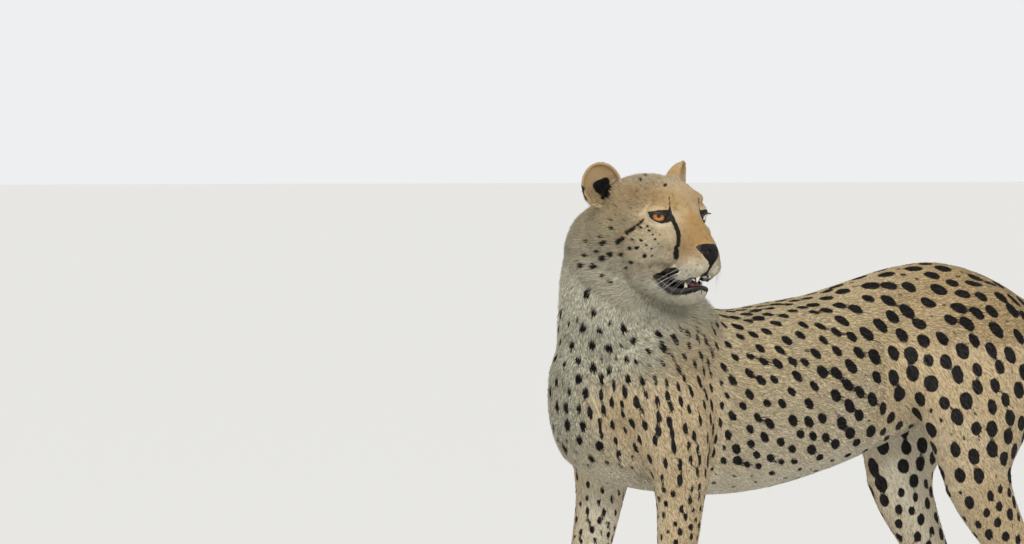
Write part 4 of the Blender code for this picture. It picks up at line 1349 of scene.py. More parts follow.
def around_eyes(places, way):
    """The coat parts round the eyes instead of lying over them."""
    for side in SIDES.values():
        turn = eye_frame(side)
        middle = np.array(turn.translation)
        gaze = np.array(turn.to_3x3().col[2])
        offset = places - middle
        ahead = offset @ gaze
        radial = offset - ahead[:, None] * gaze
        reach = np.linalg.norm(radial, axis=1)
        share = np.exp(-((reach / 0.019) ** 4)) * (ahead > 0)
        way = way + 2.2 * share[:, None] * unit(radial)
    return unit(way)


def tangent(vectors, normals):
    """The part of each vector that lies along the surface."""
    return unit(vectors - normals * np.einsum("nc,nc->n", vectors, normals)[:, None])


def evened_on_body(tone, edges, places):
    """The tones run softly into each other over the body and the limbs, and stay crisp on the face."""
    soft = evened(tone, edges, 40)
    ahead, _, up = in_head(places).T
    face = (ramp(ahead, -0.13, -0.07) * ramp(up, -0.15, -0.11))[:, None]
    return tone * face + soft * (1 - face)


def read_surface(skin):
    """All that the coat needs to know of the skin, at its vertices."""
    places, normals, triangles, edges = arrays_of(skin)
    kinds = kinds_at(places)
    way = lie_of_coat(places, normals, kinds)
    way = evened(way, edges, 30)
    way = around_eyes(places, way)
    way = tangent(evened(way, edges, 3), normals)
    rows = evened(coat_measures(kinds, places), edges, 36)
    tone = evened(tones(places, normals, kinds), edges, 6)
    smooth_normals = unit(evened(normals, edges, 2))
    return {
        "places": places,
        "normals": smooth_normals,
        "triangles": triangles,
        "kinds": kinds,
        "way": way,
        "rows": rows,
        "tone": evened_on_body(tone, edges, places),
        "tree": BVHTree.FromPolygons(places.tolist(), triangles.tolist()),
    }


def bare(places, normals):
    """True where no hair grows: in the mouth, on the nose and inside the lids."""
    ahead, out, up = in_head(places).T
    upper, lower = lip_height(ahead, UPPER_LIP), lip_height(ahead, LOWER_LIP)
    mouth = (ahead > -0.016) & (up < upper + 0.0006) & (up > lower - 0.0030) & (ahead < 0.1)
    room = ((in_head(places) - MOUTH_ROOM[0]) / MOUTH_ROOM[1]) ** 2
    mouth |= room.sum(axis=1) < 1.05
    rows = np.array(NOSE_OUTLINE)[::-1]
    nose = (ahead > 0.045) & (np.abs(out) < np.interp(up, rows[:, 1], rows[:, 0], 0, 0) + 0.0003)
    forward, rim = eye_distance(places)
    lids = (forward > 0.004) & (rim < 0.0019)
    soles = (places[:, 2] < 0.003) & (normals[:, 2] < -0.5)
    return (mouth & (np.abs(out) < 0.09)) | nose | lids | soles


# --- The unwrap that the coat's patches lie on ---


def turned(across, towards):
    """The turn of each place about a middle line, from 0 to 1."""
    return np.arctan2(across, towards) / (2 * math.pi) + 0.5


def unwrapped(places, region):
    """Each place's spot on an unwrap of the skin's own shape: round it and along it, both from 0 to 1."""
    x, y, z = places.T
    if region == "head":
        local = in_head(places) - (-0.045, 0, -0.03)
        around = turned(local[:, 1], local[:, 2])
        along = np.arccos(np.clip(unit(local)[:, 0], -1, 1)) / math.pi
    elif region == "tail":
        step = tail_step(places)
        offset = places - TAIL_PATH[step]
        behind = np.cross(TAIL_RUN[step], [1.0, 0, 0])
        around = turned(offset[:, 0], np.einsum("nc,nc->n", offset, behind))
        along = tail_place(places)
    elif region == "trunk":
        rows = catmull_rom(TRUNK, 6)
        middle = np.interp(y, rows[:, 0] + SHIFT.y, (rows[:, 1] + rows[:, 2]) / 2 + SHIFT.z)
        around = turned(x - SHIFT.x, z - middle)
        along = y + 0.62
    elif region == "neck":
        middle_x, middle_y = neck_axis(z)
        around = turned(x - middle_x, y - middle_y)
        along = (z - 0.50) / 0.46
    else:
        left = x > SHIFT.x
        stations, strides = (FORELEG, FORE_STRIDE) if region == "forelegs" else (HINDLEG, HIND_STRIDE)
        rows = catmull_rom(stations, 6)[::-1]
        height = z - SHIFT.z
        stride = np.where(left, strides["left"], strides["right"]) * np.clip(1 - height / STRIDE_TOP, 0, 1)
        middle_x = np.interp(height, rows[:, 2], rows[:, 0]) * np.where(left, 1, -1) + SHIFT.x
        middle_y = np.interp(height, rows[:, 2], rows[:, 1]) + stride + SHIFT.y
        around = (turned(x - middle_x, y - middle_y) * 0.98 + 0.01 + left) / 2
        along = height / 0.85
    return np.stack([around, along], axis=1)


# --- Tufts ---


def clumped(tips, roots, lengths, share, size):
    """The tips drawn together towards the tips of a few of their neighbours."""
    count = max(2, int(len(roots) / size))
    leaders = RANDOM.choice(len(roots), count, replace=False)
    tree = KDTree(count)
    for i, leader in enumerate(leaders):
        tree.insert(roots[leader], i)
    tree.balance()
    nearest = leaders[[tree.find(p)[1] for p in roots]]
    reach = np.linalg.norm(roots - roots[nearest], axis=1)
    pull = share * ramp(reach, 1.6 * lengths, 0.2 * lengths)
    return tips + (tips[nearest] - tips) * pull[:, None]


PATCH = 0.003  # how much of the unwrap each tuft takes
SPIKE = np.array([(1, 3, 2), (0, 2, 3), (0, 3, 1), (0, 1, 2)])  # left, right, ridge, tip
LOCK = np.array(
    [(1, 4, 5), (1, 5, 2), (0, 2, 5), (0, 5, 3), (0, 3, 4), (0, 4, 1)]
    + [(4, 6, 5), (3, 5, 6), (3, 6, 4), (0, 1, 2)]
)  # left, right and ridge at the root and at the bend, then the tip


def coloured(mesh, coats, strands):
    """Keeps the values of the coat and of the strand at the mesh's vertices."""
    for name, values in (("coat", coats), ("strand", strands)):
        mesh.attributes.new(name, "FLOAT_COLOR", "POINT").data.foreach_set("color", values.ravel())


def tuft_mesh(name, corners, pattern, coats, strands, patches):
    """One mesh of many tufts, from the places of their corners and each corner's coat, strand and patch."""
    count, each = corners.shape[:2]
    mesh = bpy.data.meshes.new(name)
    mesh.vertices.add(count * each)
    mesh.vertices.foreach_set("co", corners.ravel())
    faces = (pattern[None] + (np.arange(count) * each)[:, None, None]).reshape(-1, 3)
    mesh.loops.add(faces.size)
    mesh.loops.foreach_set("vertex_index", faces.ravel().astype(np.int32))
    mesh.polygons.add(len(faces))
    mesh.polygons.foreach_set("loop_start", np.arange(0, faces.size, 3, dtype=np.int32))
    mesh.polygons.foreach_set("loop_total", np.full(len(faces), 3, np.int32))
    coloured(mesh, coats, strands)
    unwrap = mesh.uv_layers.new(name="OFBake")
    unwrap.data.foreach_set("uv", patches.reshape(-1, 2)[faces.ravel()].ravel())
    mesh.update()
    mesh.validate()
    return in_scene(name, mesh)


def grown(name, surface, chosen, region, count, centres, pull, bent=False, grizzle=0.0, even=None):
    """Tufts grown from the chosen triangles of the skin.

    A bent one rises from its root and lies over at its tip. Pull draws neighbours' tips together, and grizzle
    makes the tufts differ. Where even is given, a tuft has one colour, that of the place this far along it.
    """
    triangles = surface["triangles"][chosen]
    mean = surface["rows"][triangles].mean(axis=1)
    weights = 1 / (mean[:, WIDTH] * mean[:, LENGTH] ** 0.7)
    picks, shares = scattered(surface["places"], triangles, weights, count)
    roots = mixed(surface["places"], triangles, picks, shares)
    normals = unit(mixed(surface["normals"], triangles, picks, shares))
    keep = ~bare(roots, normals)
    picks, shares, roots, normals = picks[keep], shares[keep], roots[keep], normals[keep]
    rows = mixed(surface["rows"], triangles, picks, shares)
    way = tangent(mixed(surface["way"], triangles, picks, shares), normals)
    kinds = surface["kinds"][triangles[picks, 0]]
    tone = mixed(surface["tone"], triangles, picks, shares)

    across = np.cross(way, normals)
    swirl = 0.10 * wobble(roots, 0.03, 5) + 0.07 * wobble(roots, 0.011, 6)
    swirl += RANDOM.normal(0, 0.09, len(roots))
    combed = unit(way + across * swirl[:, None])
    across = np.cross(combed, normals)
    lengths = rows[:, LENGTH] * RANDOM.uniform(0.70, 1.20, len(roots))
    forward, rim = eye_distance(roots)
    by_eye = ramp(rim, 0.014, 0.002) * (forward > 0)
    lengths *= 1 - 0.62 * by_eye
    widths = rows[:, WIDTH] * RANDOM.uniform(0.75, 1.25, len(roots))
    lift = np.radians(rows[:, LIFT] * RANDOM.uniform(0.6, 1.35, len(roots)) * (1 - 0.35 * by_eye))
    rise = np.sin(lift)[:, None]
    run = np.cos(lift)[:, None]
    tips = roots + lengths[:, None] * (combed * run + normals * rise)
    tips = clumped(tips, roots, lengths, pull, 9)
    base = roots - normals * 0.0004
    half = across * (widths / 2)[:, None]
    ridge = normals * (widths * 0.36)[:, None]
    if bent:
        middle = base + (tips - base) * 0.50 + normals * (lengths * 0.06)[:, None]
        tips = tips - normals * (lengths * 0.05)[:, None]
        corners = [base - half, base + half, base + ridge, middle - half * 0.85, middle + half * 0.85]
        corners = np.stack([*corners, middle + ridge * 0.8, tips], axis=1)
        pattern, heights = LOCK, (0, 0, 0, 0.5, 0.5, 0.5, 1)
        layout = ((-1, -1), (1, -1), (0, -1), (-0.85, 0), (0.85, 0), (0, 0), (0, 1))
    else:
        corners = np.stack([base - half, base + half, base + ridge, tips], axis=1)
        pattern, heights = SPIKE, (0, 0, 0, 1)
        layout = ((-1, -1), (1, -1), (0, -1), (0, 1))
    corners[..., 2] = np.maximum(corners[..., 2], 0.0004)

    # Each tuft is marked at its root, along it and at its tip, so that a mark's edge stays where it belongs
    speckle = RANDOM.normal(size=(len(roots), 3))
    tone = np.clip(tone + grizzle * speckle * (0.16, 0.05, 0.10), 0, 1)
    stations = {}
    for height in sorted(set(heights)):
        spots = roots + way * (lengths * (height if even is None else even))[:, None]
        stations[height] = colouring(spots, normals, kinds, way, centres, tone)
    coats = np.stack([stations[height] for height in heights], axis=1)
    flecks = grizzle * (0.65 * wobble(roots, 0.006, 31) + 0.65 * speckle[:, 0] - 0.85)
    flecked = np.clip(0.47 + 0.10 * flecks, 0, 0.53) * (flecks > 0)
    coats[..., 0] = np.maximum(coats[..., 0], flecked[:, None])
    shade = 0.5 + (0.16 + 0.14 * grizzle) * speckle[:, 1] + 0.08 * wobble(roots, 0.012, 9) - 0.10 * grizzle
    strands = np.tile([0.0, 0.0, 0.0, 1.0], (len(roots), len(heights), 1))
    # The strand's first value runs from 0 at the root to 1 at the tip and sets the painted shade and painted
    # light along each tuft
    strands[..., 0] = heights
    strands[..., 1] = np.clip(shade, 0, 1)[:, None]
    spots = np.clip(unwrapped(roots, region), 0.002, 0.998)
    patches = spots[:, None, :] + np.array(layout)[None] * (PATCH / 2)
    dressed(tuft_mesh(name, corners, pattern, coats, strands, np.clip(patches, 0, 1)), "coat", "tan_coat")


def marked(obj, surface, centres):
    """The skin carries the coat's marks and tones too, and knows where it is bare. Between the lips the mouth
    is painted near black as painted shade.
    """
    spots = [surface[key] for key in ("places", "normals", "kinds", "way")]
    coats = colouring(*spots, centres, surface["tone"])
    naked = bare(surface["places"], surface["normals"])
    ahead, _, up = in_head(surface["places"]).T
    upper, lower = lip_height(ahead, UPPER_LIP) - 0.0004, lip_height(ahead, LOWER_LIP) + 0.0004
    # Painted shade: between the lips the mouth takes the coat's near-black
    inside = (ahead > -0.016) & (up < upper) & (up > lower)
    coats[naked, 0] = 1
    # The skin takes the coat's painted shade as it is a quarter of the way up a hair
    strands = np.tile([0.25, 0.5, 0.0, 1.0], (len(coats), 1))
    strands[:, 2] = naked & ~inside
    coloured(obj.data, coats, strands)


# --- Materials ---


def fed(tree, value, socket):
    """Feeds a socket from another one, or sets its plain value."""
    if isinstance(value, bpy.types.NodeSocket):
        tree.links.new(value, socket)
    else:
        socket.default_value = value


def shader_node(tree, kind, **values):
    """A node, with its settings, and its inputs linked or set to plain values."""
    node = tree.nodes.new(kind)
    for key, value in values.items():
        if hasattr(node, key):
            setattr(node, key, value)
        else:
            fed(tree, value, node.inputs[key.replace("_", " ")])
    return node


def kept(tree, name):
    """The node that reads one of the mesh's own attributes."""
    return shader_node(tree, "ShaderNodeAttribute", attribute_name=name)


def blended(tree, factor, first, second, mode="MIX"):
    """A colour mix. Each of factor, first and second is a socket or a plain value."""
    node = shader_node(tree, "ShaderNodeMix", data_type="RGBA", blend_type=mode)
    for place, value in ((0, factor), (6, first), (7, second)):
        fed(tree, value, node.inputs[place])
    return node.outputs[2]


def sums(tree, operation, *values):
    """A sum of sockets and plain numbers."""
    node = shader_node(tree, "ShaderNodeMath", operation=operation)
    for place, value in enumerate(values):
        fed(tree, value, node.inputs[place])
    return node.outputs[0]


def between(tree, value, low, high):
    """A mask that runs from 0 at low to 1 at high."""
    return shader_node(tree, "ShaderNodeMapRange", Value=value, From_Min=low, From_Max=high).outputs[0]


def new_group(name, inputs, outputs):
    """An empty shader group with its named sockets."""
    group = bpy.data.node_groups.new(name, "ShaderNodeTree")
    for key, kind, value in inputs:
        group.interface.new_socket(key, in_out="INPUT", socket_type=kind).default_value = value
    for key, kind in outputs:
        group.interface.new_socket(key, in_out="OUTPUT", socket_type=kind)
    return group, group.nodes.new("NodeGroupInput"), group.nodes.new("NodeGroupOutput")


COLOUR, NUMBER = "NodeSocketColor", "NodeSocketFloat"
TAN = (0.550, 0.440, 0.262, 1)
RUST = (0.370, 0.210, 0.062, 1)
GREY = (0.410, 0.420, 0.330, 1)
CREAM = (0.780, 0.720, 0.570, 1)
DARK = (0.006, 0.004, 0.003, 1)


def coat_colour_group():
    """The coat's colour from its marks and tones, with painted shade at the root of each hair and painted
    light at its tip.
    """
    group, start, end = new_group(
        "Coat colour",
        [
            ("Tan", COLOUR, TAN),
            ("Rust", COLOUR, RUST),
            ("Grey", COLOUR, GREY),
            ("Cream", COLOUR, CREAM),
            ("Dark", COLOUR, DARK),
            ("Root shade", NUMBER, 0.78),
            ("Tip light", NUMBER, 1.10),
        ],
        [("Color", COLOUR)],
    )
    coat = kept(group, "coat")
    tones = shader_node(group, "ShaderNodeSeparateColor", Color=coat.outputs["Color"])
    hair = shader_node(group, "ShaderNodeSeparateColor", Color=kept(group, "strand").outputs["Color"])
    colour = blended(group, tones.outputs[2], start.outputs["Tan"], start.outputs["Rust"])
    colour = blended(group, coat.outputs["Alpha"], colour, start.outputs["Grey"])
    colour = blended(group, tones.outputs[1], colour, start.outputs["Cream"])
    # Painted shade at each tuft's root and painted light at its tip, then each tuft's own tone, which differs
    # at random
    ends = {"To_Min": start.outputs["Root shade"], "To_Max": start.outputs["Tip light"]}
    light = shader_node(group, "ShaderNodeMapRange", Value=hair.outputs[0], **ends)
    own = sums(group, "MULTIPLY_ADD", hair.outputs[1], 0.60, 0.70)
    shade = sums(group, "MULTIPLY", light.outputs[0], own)
    grey = shader_node(group, "ShaderNodeCombineColor", Red=shade, Green=shade, Blue=shade)
    colour = blended(group, 1.0, colour, grey.outputs[0], "MULTIPLY")
    # The dark channel holds the coat's marks and also painted shade in the ears' hollows and folds and inside
    # the mouth
    mark = between(group, tones.outputs[0], 0.46, 0.54)
    fed(group, blended(group, mark, colour, start.outputs["Dark"]), end.inputs["Color"])
    return group


def grain_group():
    """A fine grain: its height for a bump, and a mask of lighter and darker specks."""
    group, start, end = new_group(
        "Fine grain",
        [("Scale", NUMBER, 600.0), ("Pebbles", NUMBER, 0.0)],
        [("Height", NUMBER), ("Specks", NUMBER)],
    )
    place = {"Vector": group.nodes.new("ShaderNodeTexCoord").outputs["Object"]}
    scale = start.outputs["Scale"]
    noise = shader_node(group, "ShaderNodeTexNoise", Scale=scale, Detail=4.0, Roughness=0.6, **place)
    cells = shader_node(group, "ShaderNodeTexVoronoi", Scale=scale, **place)
    rise = sums(group, "MULTIPLY", cells.outputs["Distance"], start.outputs["Pebbles"])
    fed(group, sums(group, "SUBTRACT", noise.outputs["Fac"], rise), end.inputs["Height"])
    wide = shader_node(group, "ShaderNodeTexNoise", Scale=70.0, Detail=3.0, **place)
    fed(group, wide.outputs["Fac"], end.inputs["Specks"])
    return group


COAT_COLOUR = coat_colour_group()
GRAIN = grain_group()


def surface_material(name, roughness, **settings):
    """A material with a Principled shader, and its tree and shader ready to be fed."""
    material = bpy.data.materials.new(name)
    material.use_nodes = True
    shader = material.node_tree.nodes["Principled BSDF"]
    for key, value in {"Roughness": roughness, **settings}.items():
        shader.inputs[key.replace("_", " ")].default_value = value
    return material, material.node_tree, shader


def grained(tree, shader, scale, strength, distance, pebbles=0.0):
    """A bump from the fine grain, fed to the shader. The grain's node is returned."""
    node = shader_node(tree, "ShaderNodeGroup", node_tree=GRAIN, Scale=scale, Pebbles=pebbles)
    height = node.outputs["Height"]
    bump = shader_node(tree, "ShaderNodeBump", Strength=strength, Distance=distance, Height=height)
    fed(tree, bump.outputs["Normal"], shader.inputs["Normal"])
    return node


def two_tone(name, first, second, roughness, specular, *bump):
    """A material of two colours mixed by the grain's specks, over a bump of the same grain."""
    material, tree, shader = surface_material(name, roughness, Specular_IOR_Level=specular)
    mask = between(tree, grained(tree, shader, *bump).outputs["Specks"], 0.38, 0.62)
    fed(tree, blended(tree, mask, (*first, 1), (*second, 1)), shader.inputs["Base Color"])
    return material


def coat_material():
    """The tufts, coloured by the coat's marks and tones."""
    material, tree, shader = surface_material("Coat_tufts", 0.60, Specular_IOR_Level=0.20)
    node = shader_node(tree, "ShaderNodeGroup", node_tree=COAT_COLOUR)
    fed(tree, node.outputs["Color"], shader.inputs["Base Color"])
    return material


def skin_material():
    """The skin under the coat, and bare where the mouth and the lids are. Between the lips the mouth carries
    painted shade.
    """
    material, tree, shader = surface_material("Skin_under_coat", 0.62, Specular_IOR_Level=0.3)
    node = shader_node(tree, "ShaderNodeGroup", node_tree=COAT_COLOUR)
    grained(tree, shader, 900.0, 0.6, 0.0005)
    strand = shader_node(tree, "ShaderNodeSeparateColor", Color=kept(tree, "strand").outputs["Color"])
    naked = blended(tree, strand.outputs[2], node.outputs["Color"], (0.016, 0.011, 0.010, 1))
    fed(tree, naked, shader.inputs["Base Color"])
    return material


def colour_ramp(tree, value, rows):
    """Colours along a value, from rows of place and colour."""
    node = shader_node(tree, "ShaderNodeValToRGB", Fac=value)
    stops = node.color_ramp.elements
    for i, (position, colour) in enumerate(rows):
        stop = stops[i] if i < 2 else stops.new(position)
        stop.position, stop.color = position, (*colour, 1)
    return node.outputs[0]


def iris_material():
    """Amber rays from a black pupil, a dark ring and a brown white of the eye."""
    material, tree, shader = surface_material("Eye_iris", 0.35, Specular_IOR_Level=0.4)
    ring, way = kept(tree, "ring").outputs["Fac"], kept(tree, "round").outputs["Vector"]
    rays = shader_node(tree, "ShaderNodeTexNoise", Vector=way, Scale=7.0, Detail=5.0, Roughness=0.7)
    amber = [(0.30, (0.420, 0.125, 0.010)), (0.72, (1.000, 0.470, 0.065))]
    pupil = PUPIL_RADIUS / IRIS_RADIUS / 2
    bands = [
        (pupil - 0.012, (0.0, 0.0, 0.0)),
        (pupil + 0.012, (0.95, 0.80, 0.62)),
        (0.27, (1.15, 1.05, 0.90)),
        (0.44, (0.75, 0.55, 0.40)),
        (0.50, (0.06, 0.04, 0.03)),
    ]
    tone = colour_ramp(tree, rays.outputs["Fac"], amber)
    shade = colour_ramp(tree, sums(tree, "MULTIPLY", ring, 0.5), bands)
    colour = blended(tree, 1.0, tone, shade, "MULTIPLY")
    white = (0.055, 0.035, 0.025, 1)
    fed(tree, blended(tree, between(tree, ring, 0.98, 1.04), colour, white), shader.inputs["Base Color"])
    return material


def tooth_material():
    """Ivory, darker towards the root by its own attribute."""
    material, tree, shader = surface_material("Tooth_enamel", 0.28)
    grained(tree, shader, 500.0, 0.2, 0.0002)
    ivory, stained = (0.74, 0.68, 0.55, 1), (0.46, 0.34, 0.19, 1)
    colour = blended(tree, kept(tree, "root").outputs["Fac"], ivory, stained)
    fed(tree, colour, shader.inputs["Base Color"])
    return material


# Finishes of two colours: name, colours, roughness, gloss, then the grain's scale, strength, depth, pebbles
TWO_TONES = {
    "nose": ("Nose_leather", (0.003, 0.003, 0.003), (0.008, 0.006, 0.006), 0.55, 0.15, 900, 0.9, 0.0005, 1.4),
    "lip": ("Lip_skin", (0.005, 0.004, 0.004), (0.011, 0.007, 0.007), 0.42, 0.5, 700, 0.5, 0.0004, 0.6),
    "gum": ("Gum_skin", (0.026, 0.012, 0.012), (0.014, 0.008, 0.008), 0.35, 0.5, 500, 0.3, 0.0003),
    "tongue": ("Tongue_skin", (0.36, 0.15, 0.15), (0.27, 0.10, 0.105), 0.42, 0.5, 1500, 0.9, 0.0005, 1.2),
    "claw": ("Claw_horn", (0.060, 0.042, 0.030), (0.140, 0.100, 0.065), 0.35, 0.5, 300, 0.3, 0.0003),
    "whisker": ("Whisker_hair", (0.82, 0.80, 0.75), (0.70, 0.67, 0.60), 0.35, 0.5, 400, 0.2, 0.0002),
}
MATERIALS = {
    "coat": coat_material(),
    "skin": skin_material(),
    "iris": iris_material(),
    "cornea": surface_material("Eye_cornea", 0.03, Transmission_Weight=1.0, IOR=1.376)[0],
    "enamel": tooth_material(),
    **{key: two_tone(*row) for key, row in TWO_TONES.items()},
    "floor": surface_material("Floor_plain", 0.9, Base_Color=(0.56, 0.56, 0.555, 1))[0],
}


def dressed(obj, material, slot, *solids):
    """Gives a finished piece its material and its ride, and hides the solids that it stands for. Its slot is
    not used.
    """
    obj.data.materials.clear()
    obj.data.materials.append(MATERIALS[material])
    obj.data.polygons.foreach_set("use_smooth", np.ones(len(obj.data.polygons), bool))
    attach(obj, "root")
    if solids:
        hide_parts(*solids)
    return obj


# --- Eyes ---


def eyeball(name, side):
    """A ball whose front is a shallow iris with a deeper pupil."""
    bm = bmesh.new()
    rings = 40
    bmesh.ops.create_uvsphere(bm, u_segments=56, v_segments=rings, radius=1)
    edge = math.sqrt(EYE_RADIUS**2 - IRIS_RADIUS**2)
    profile = [(0.0, edge - 0.0022), (0.85 * PUPIL_RADIUS, edge - 0.0022), (PUPIL_RADIUS, edge - 0.0010)]
    profile += [(share * IRIS_RADIUS, edge - 0.0010 + 0.0004 * share) for share in (0.50, 0.68, 0.84, 0.97)]
    profile.append((IRIS_RADIUS * 1.02, edge + 0.0001))
    ring = bm.verts.layers.float.new("ring")
    round_way = bm.verts.layers.float_vector.new("round")
    for v in bm.verts:
        index = round(math.acos(max(-1, min(1, v.co.z))) / math.pi * rings)
        flat = Vector((v.co.x, v.co.y, 0))
        way = flat.normalized() if flat.length > 1e-6 else Vector((0, 0, 0))
        if index < len(profile):
            reach, height = profile[index]
        else:
            start = math.atan2(*profile[-1])
            turn = start + (math.pi - start) * (index - len(profile) + 1) / (rings - len(profile) + 1)
            reach, height = EYE_RADIUS * math.sin(turn), EYE_RADIUS * math.cos(turn)
        v.co = way * reach + Vector((0, 0, height))
        v[ring] = 3.0 if index > 20 else reach / IRIS_RADIUS
        v[round_way] = way + Vector((0, 0, 0.25 * reach / IRIS_RADIUS))
    return dressed(finished(f"eyeball_{name}", bm, eye_frame(side)), "iris", "eyeball", f"eye_{name}")


def cornea(name, side):
    """The clear dome over the iris."""
    bm = bmesh.new()
    bmesh.ops.create_uvsphere(bm, u_segments=48, v_segments=32, radius=1)
    shape = Matrix.Translation((0, 0, 0.0126)) @ Matrix.Diagonal((0.0101, 0.0101, 0.0053, 1))
    bmesh.ops.transform(bm, matrix=eye_frame(side) @ shape, verts=bm.verts)
    obj = dressed(finished(f"cornea_{name}", bm), "cornea", "eyeball")
    obj.visible_shadow = False
    return obj


def lid_rims(name, side):
    """The dark wet edges of the lids, the upper one the heavier, with the inner corner and the lashes."""
    turn = eye_frame(side)
    outline = lid_outline(36)
    halves = [(outline[:19], 0.0009, 0.0007, 0.0016), ([*outline[18:], outline[0]], 0.0006, 0.0003, 0.0010)]
    made = []
    for points, thin, more, height in halves:
        shares = np.sin(np.linspace(0, math.pi, len(points)))
        path = [turn @ on_ball(point * 1.05, EYE_RADIUS + height) for point in points]
        made.append(rod("rim_form", path, thin + more * shares))
    corner = [(LID_HALF_WIDTH * 0.90, 0.0, 0), (LID_HALF_WIDTH * 1.12, -0.0012, 0)]
    path = [turn @ on_ball(Vector(point), 0.0184) for point in corner]
    path.append(turn @ Vector((0.0178, -0.0034, 0.0060)))
    made.append(rod("rim_form", path, [0.0030, 0.0024, 0.0008]))
    droop = Vector((0, -0.0012, 0))
    for point in outline[2:17]:
        root = on_ball(point * 1.08, EYE_RADIUS + 0.0026)
        way = Vector((-point.x * 16 - 0.15, 0.10 + 0.12 * RANDOM.random(), 1.0)).normalized()
        length = 0.0052 + 0.0014 * RANDOM.random()
        path = [turn @ (root + way * length * t + droop * t * t) for t in (0, 0.35, 0.7, 1.0)]
        made.append(rod("lash_form", path, [0.00034, 0.00030, 0.00022, 0.00006], 5))
    return dressed(joined(f"lid_rims_{name}", made), "lip", "lip_skin")


# --- Nose, lips, teeth, tongue ---

# The leather's outline on one side of the nose's middle, from its top down to the lip: out, up
NOSE_OUTLINE = [
    (0.0000, -0.0412),
    (0.0090, -0.0412),
    (0.0170, -0.0425),
    (0.0208, -0.0468),
    (0.0192, -0.0530),
    (0.0140, -0.0595),
    (0.0088, -0.0655),
    (0.0044, -0.0705),
    (0.0024, -0.0765),
    (0.0014, -0.0880),
]
NOSE_BALL = ((0.0560, 0.0, -0.0600), (0.0258, 0.0238, 0.0265))
NOSTRILS = [
    ((0.0790, 0.0078, -0.0528), (0.0080, 0.0038, 0.0032)),
    ((0.0715, 0.0150, -0.0540), (0.0110, 0.0055, 0.0014)),
]


def nose_leather():
    """The nose: leather with comma-shaped nostrils and a groove down to the lip."""
    rows = [tuple(row) for row in catmull_rom(NOSE_OUTLINE, 3)]
    outline = [(0.042, out, up) for out, up in rows] + [(0.042, -out, up) for out, up in rows[:0:-1]]
    nose = ball("nose_leather", Vector(NOSE_BALL[0]), NOSE_BALL[1], HEAD, 5)
    carved(nose, swept("nose_prism", outline, (0.06, 0, 0)), "INTERSECT")
    nose = fuse("nose_leather", [nose], 0.0008, 6)
    for cutter in balls("nostril_cutter", NOSTRILS, HEAD):
        carved(nose, cutter)
    carved(nose, ball("groove_cutter", Vector((0.0800, 0, -0.0720)), (0.0045, 0.0006, 0.0150), HEAD))
    nose = fuse("nose_leather", [nose], 0.0006, 3)
    return dressed(nose, "nose", "nose_skin", "nose_pad")


def lips():
    """The dark rolled edges of the lower and the upper lip."""
    low = [
        (-0.0110, 0.0400, -0.0960, 0.0014),
        (0.0040, 0.0375, -0.1040, 0.0032),
        (0.0190, 0.0330, -0.1135, 0.0043),
        (0.0330, 0.0270, -0.1155, 0.0043),
        (0.0440, 0.0195, -0.1130, 0.0036),
        (0.0500, 0.0105, -0.1105, 0.0030),
        (0.0520, 0.0000, -0.1095, 0.0028),
    ]
    high = [
        (-0.0110, 0.0405, -0.0950, 0.0012),
        (0.0100, 0.0370, -0.0950, 0.0014),
        (0.0220, 0.0345, -0.0975, 0.0018),
        (0.0340, 0.0295, -0.1005, 0.0020),
        (0.0460, 0.0220, -0.0975, 0.0018),
        (0.0580, 0.0120, -0.0935, 0.0015),
        (0.0640, 0.0000, -0.0900, 0.0014),
    ]
    edges = [lip_rod("lip_form", low), lip_rod("lip_form", high)]
    return dressed(joined("lips", edges), "lip", "lip_skin")


def tooth(place, length, radius, lean, curve):
    """A curved cone from its root. Lean is its direction and curve how far its tip bends back."""
    way = Vector(lean).normalized()
    path, radii = [], []
    for i in range(9):
        t = i / 8
        path.append(HEAD @ (Vector(place) + way * length * t + Vector((-curve * t * t, 0, 0))))
        radii.append(radius * max(0.06, (1 - t**1.6) ** 0.75))
    obj = rod("tooth_form", path, radii, 12)
    start = HEAD @ Vector(place)
    near = [max(0.0, 1 - (v.co - start).length / length * 1.8) for v in obj.data.vertices]
    obj.data.attributes.new("root", "FLOAT", "POINT").data.foreach_set("value", near)
    return obj


def teeth():
    """The four canines and the small front teeth, where the open mouth shows them."""
    made = []
    for side in SIDES.values():
        length = 0.0115 - 0.0030 * side
        made.append(tooth((0.0600, 0.0115 * side, -0.0870), length, 0.0040, (0.03, 0.02 * side, -1), 0.0026))
        made.append(tooth((0.0375, 0.0150 * side, -0.1180), 0.0165, 0.0042, (0.06, 0.10 * side, 1), 0.0026))
        for i, out in enumerate((0.0018, 0.0052, 0.0084)):
            made.append(tooth((0.0600 - 0.0016 * i, out * side, -0.0890), 0.0056, 0.0016, (0.1, 0, -1), 0.0))
            made.append(tooth((0.0500 - 0.0014 * i, out * side, -0.1130), 0.0046, 0.0014, (0.15, 0, 1), 0.0))
    return dressed(joined("teeth", made), "enamel", "tooth_enamel")


def gums():
    """The gums that the teeth stand in."""
    made = []
    for up, back in ((-0.0870, 0.0), (-0.1190, 0.0075)):
        rows = [
            (0.000, 0.0250, up, 0.0042),
            (0.020, 0.0205, up, 0.0042),
            (0.038, 0.0160, up, 0.0040),
            (0.051, 0.0125, up, 0.0042),
            (0.0570, 0.0060, up, 0.0040),
            (0.0580, 0.0000, up, 0.0038),
        ]
        rows = [(ahead - back, out * (1 - back * 9), height, radius) for ahead, out, height, radius in rows]
        made.append(lip_rod("gum_form", rows))
    return dressed(joined("gums", made), "gum", "lip_skin")


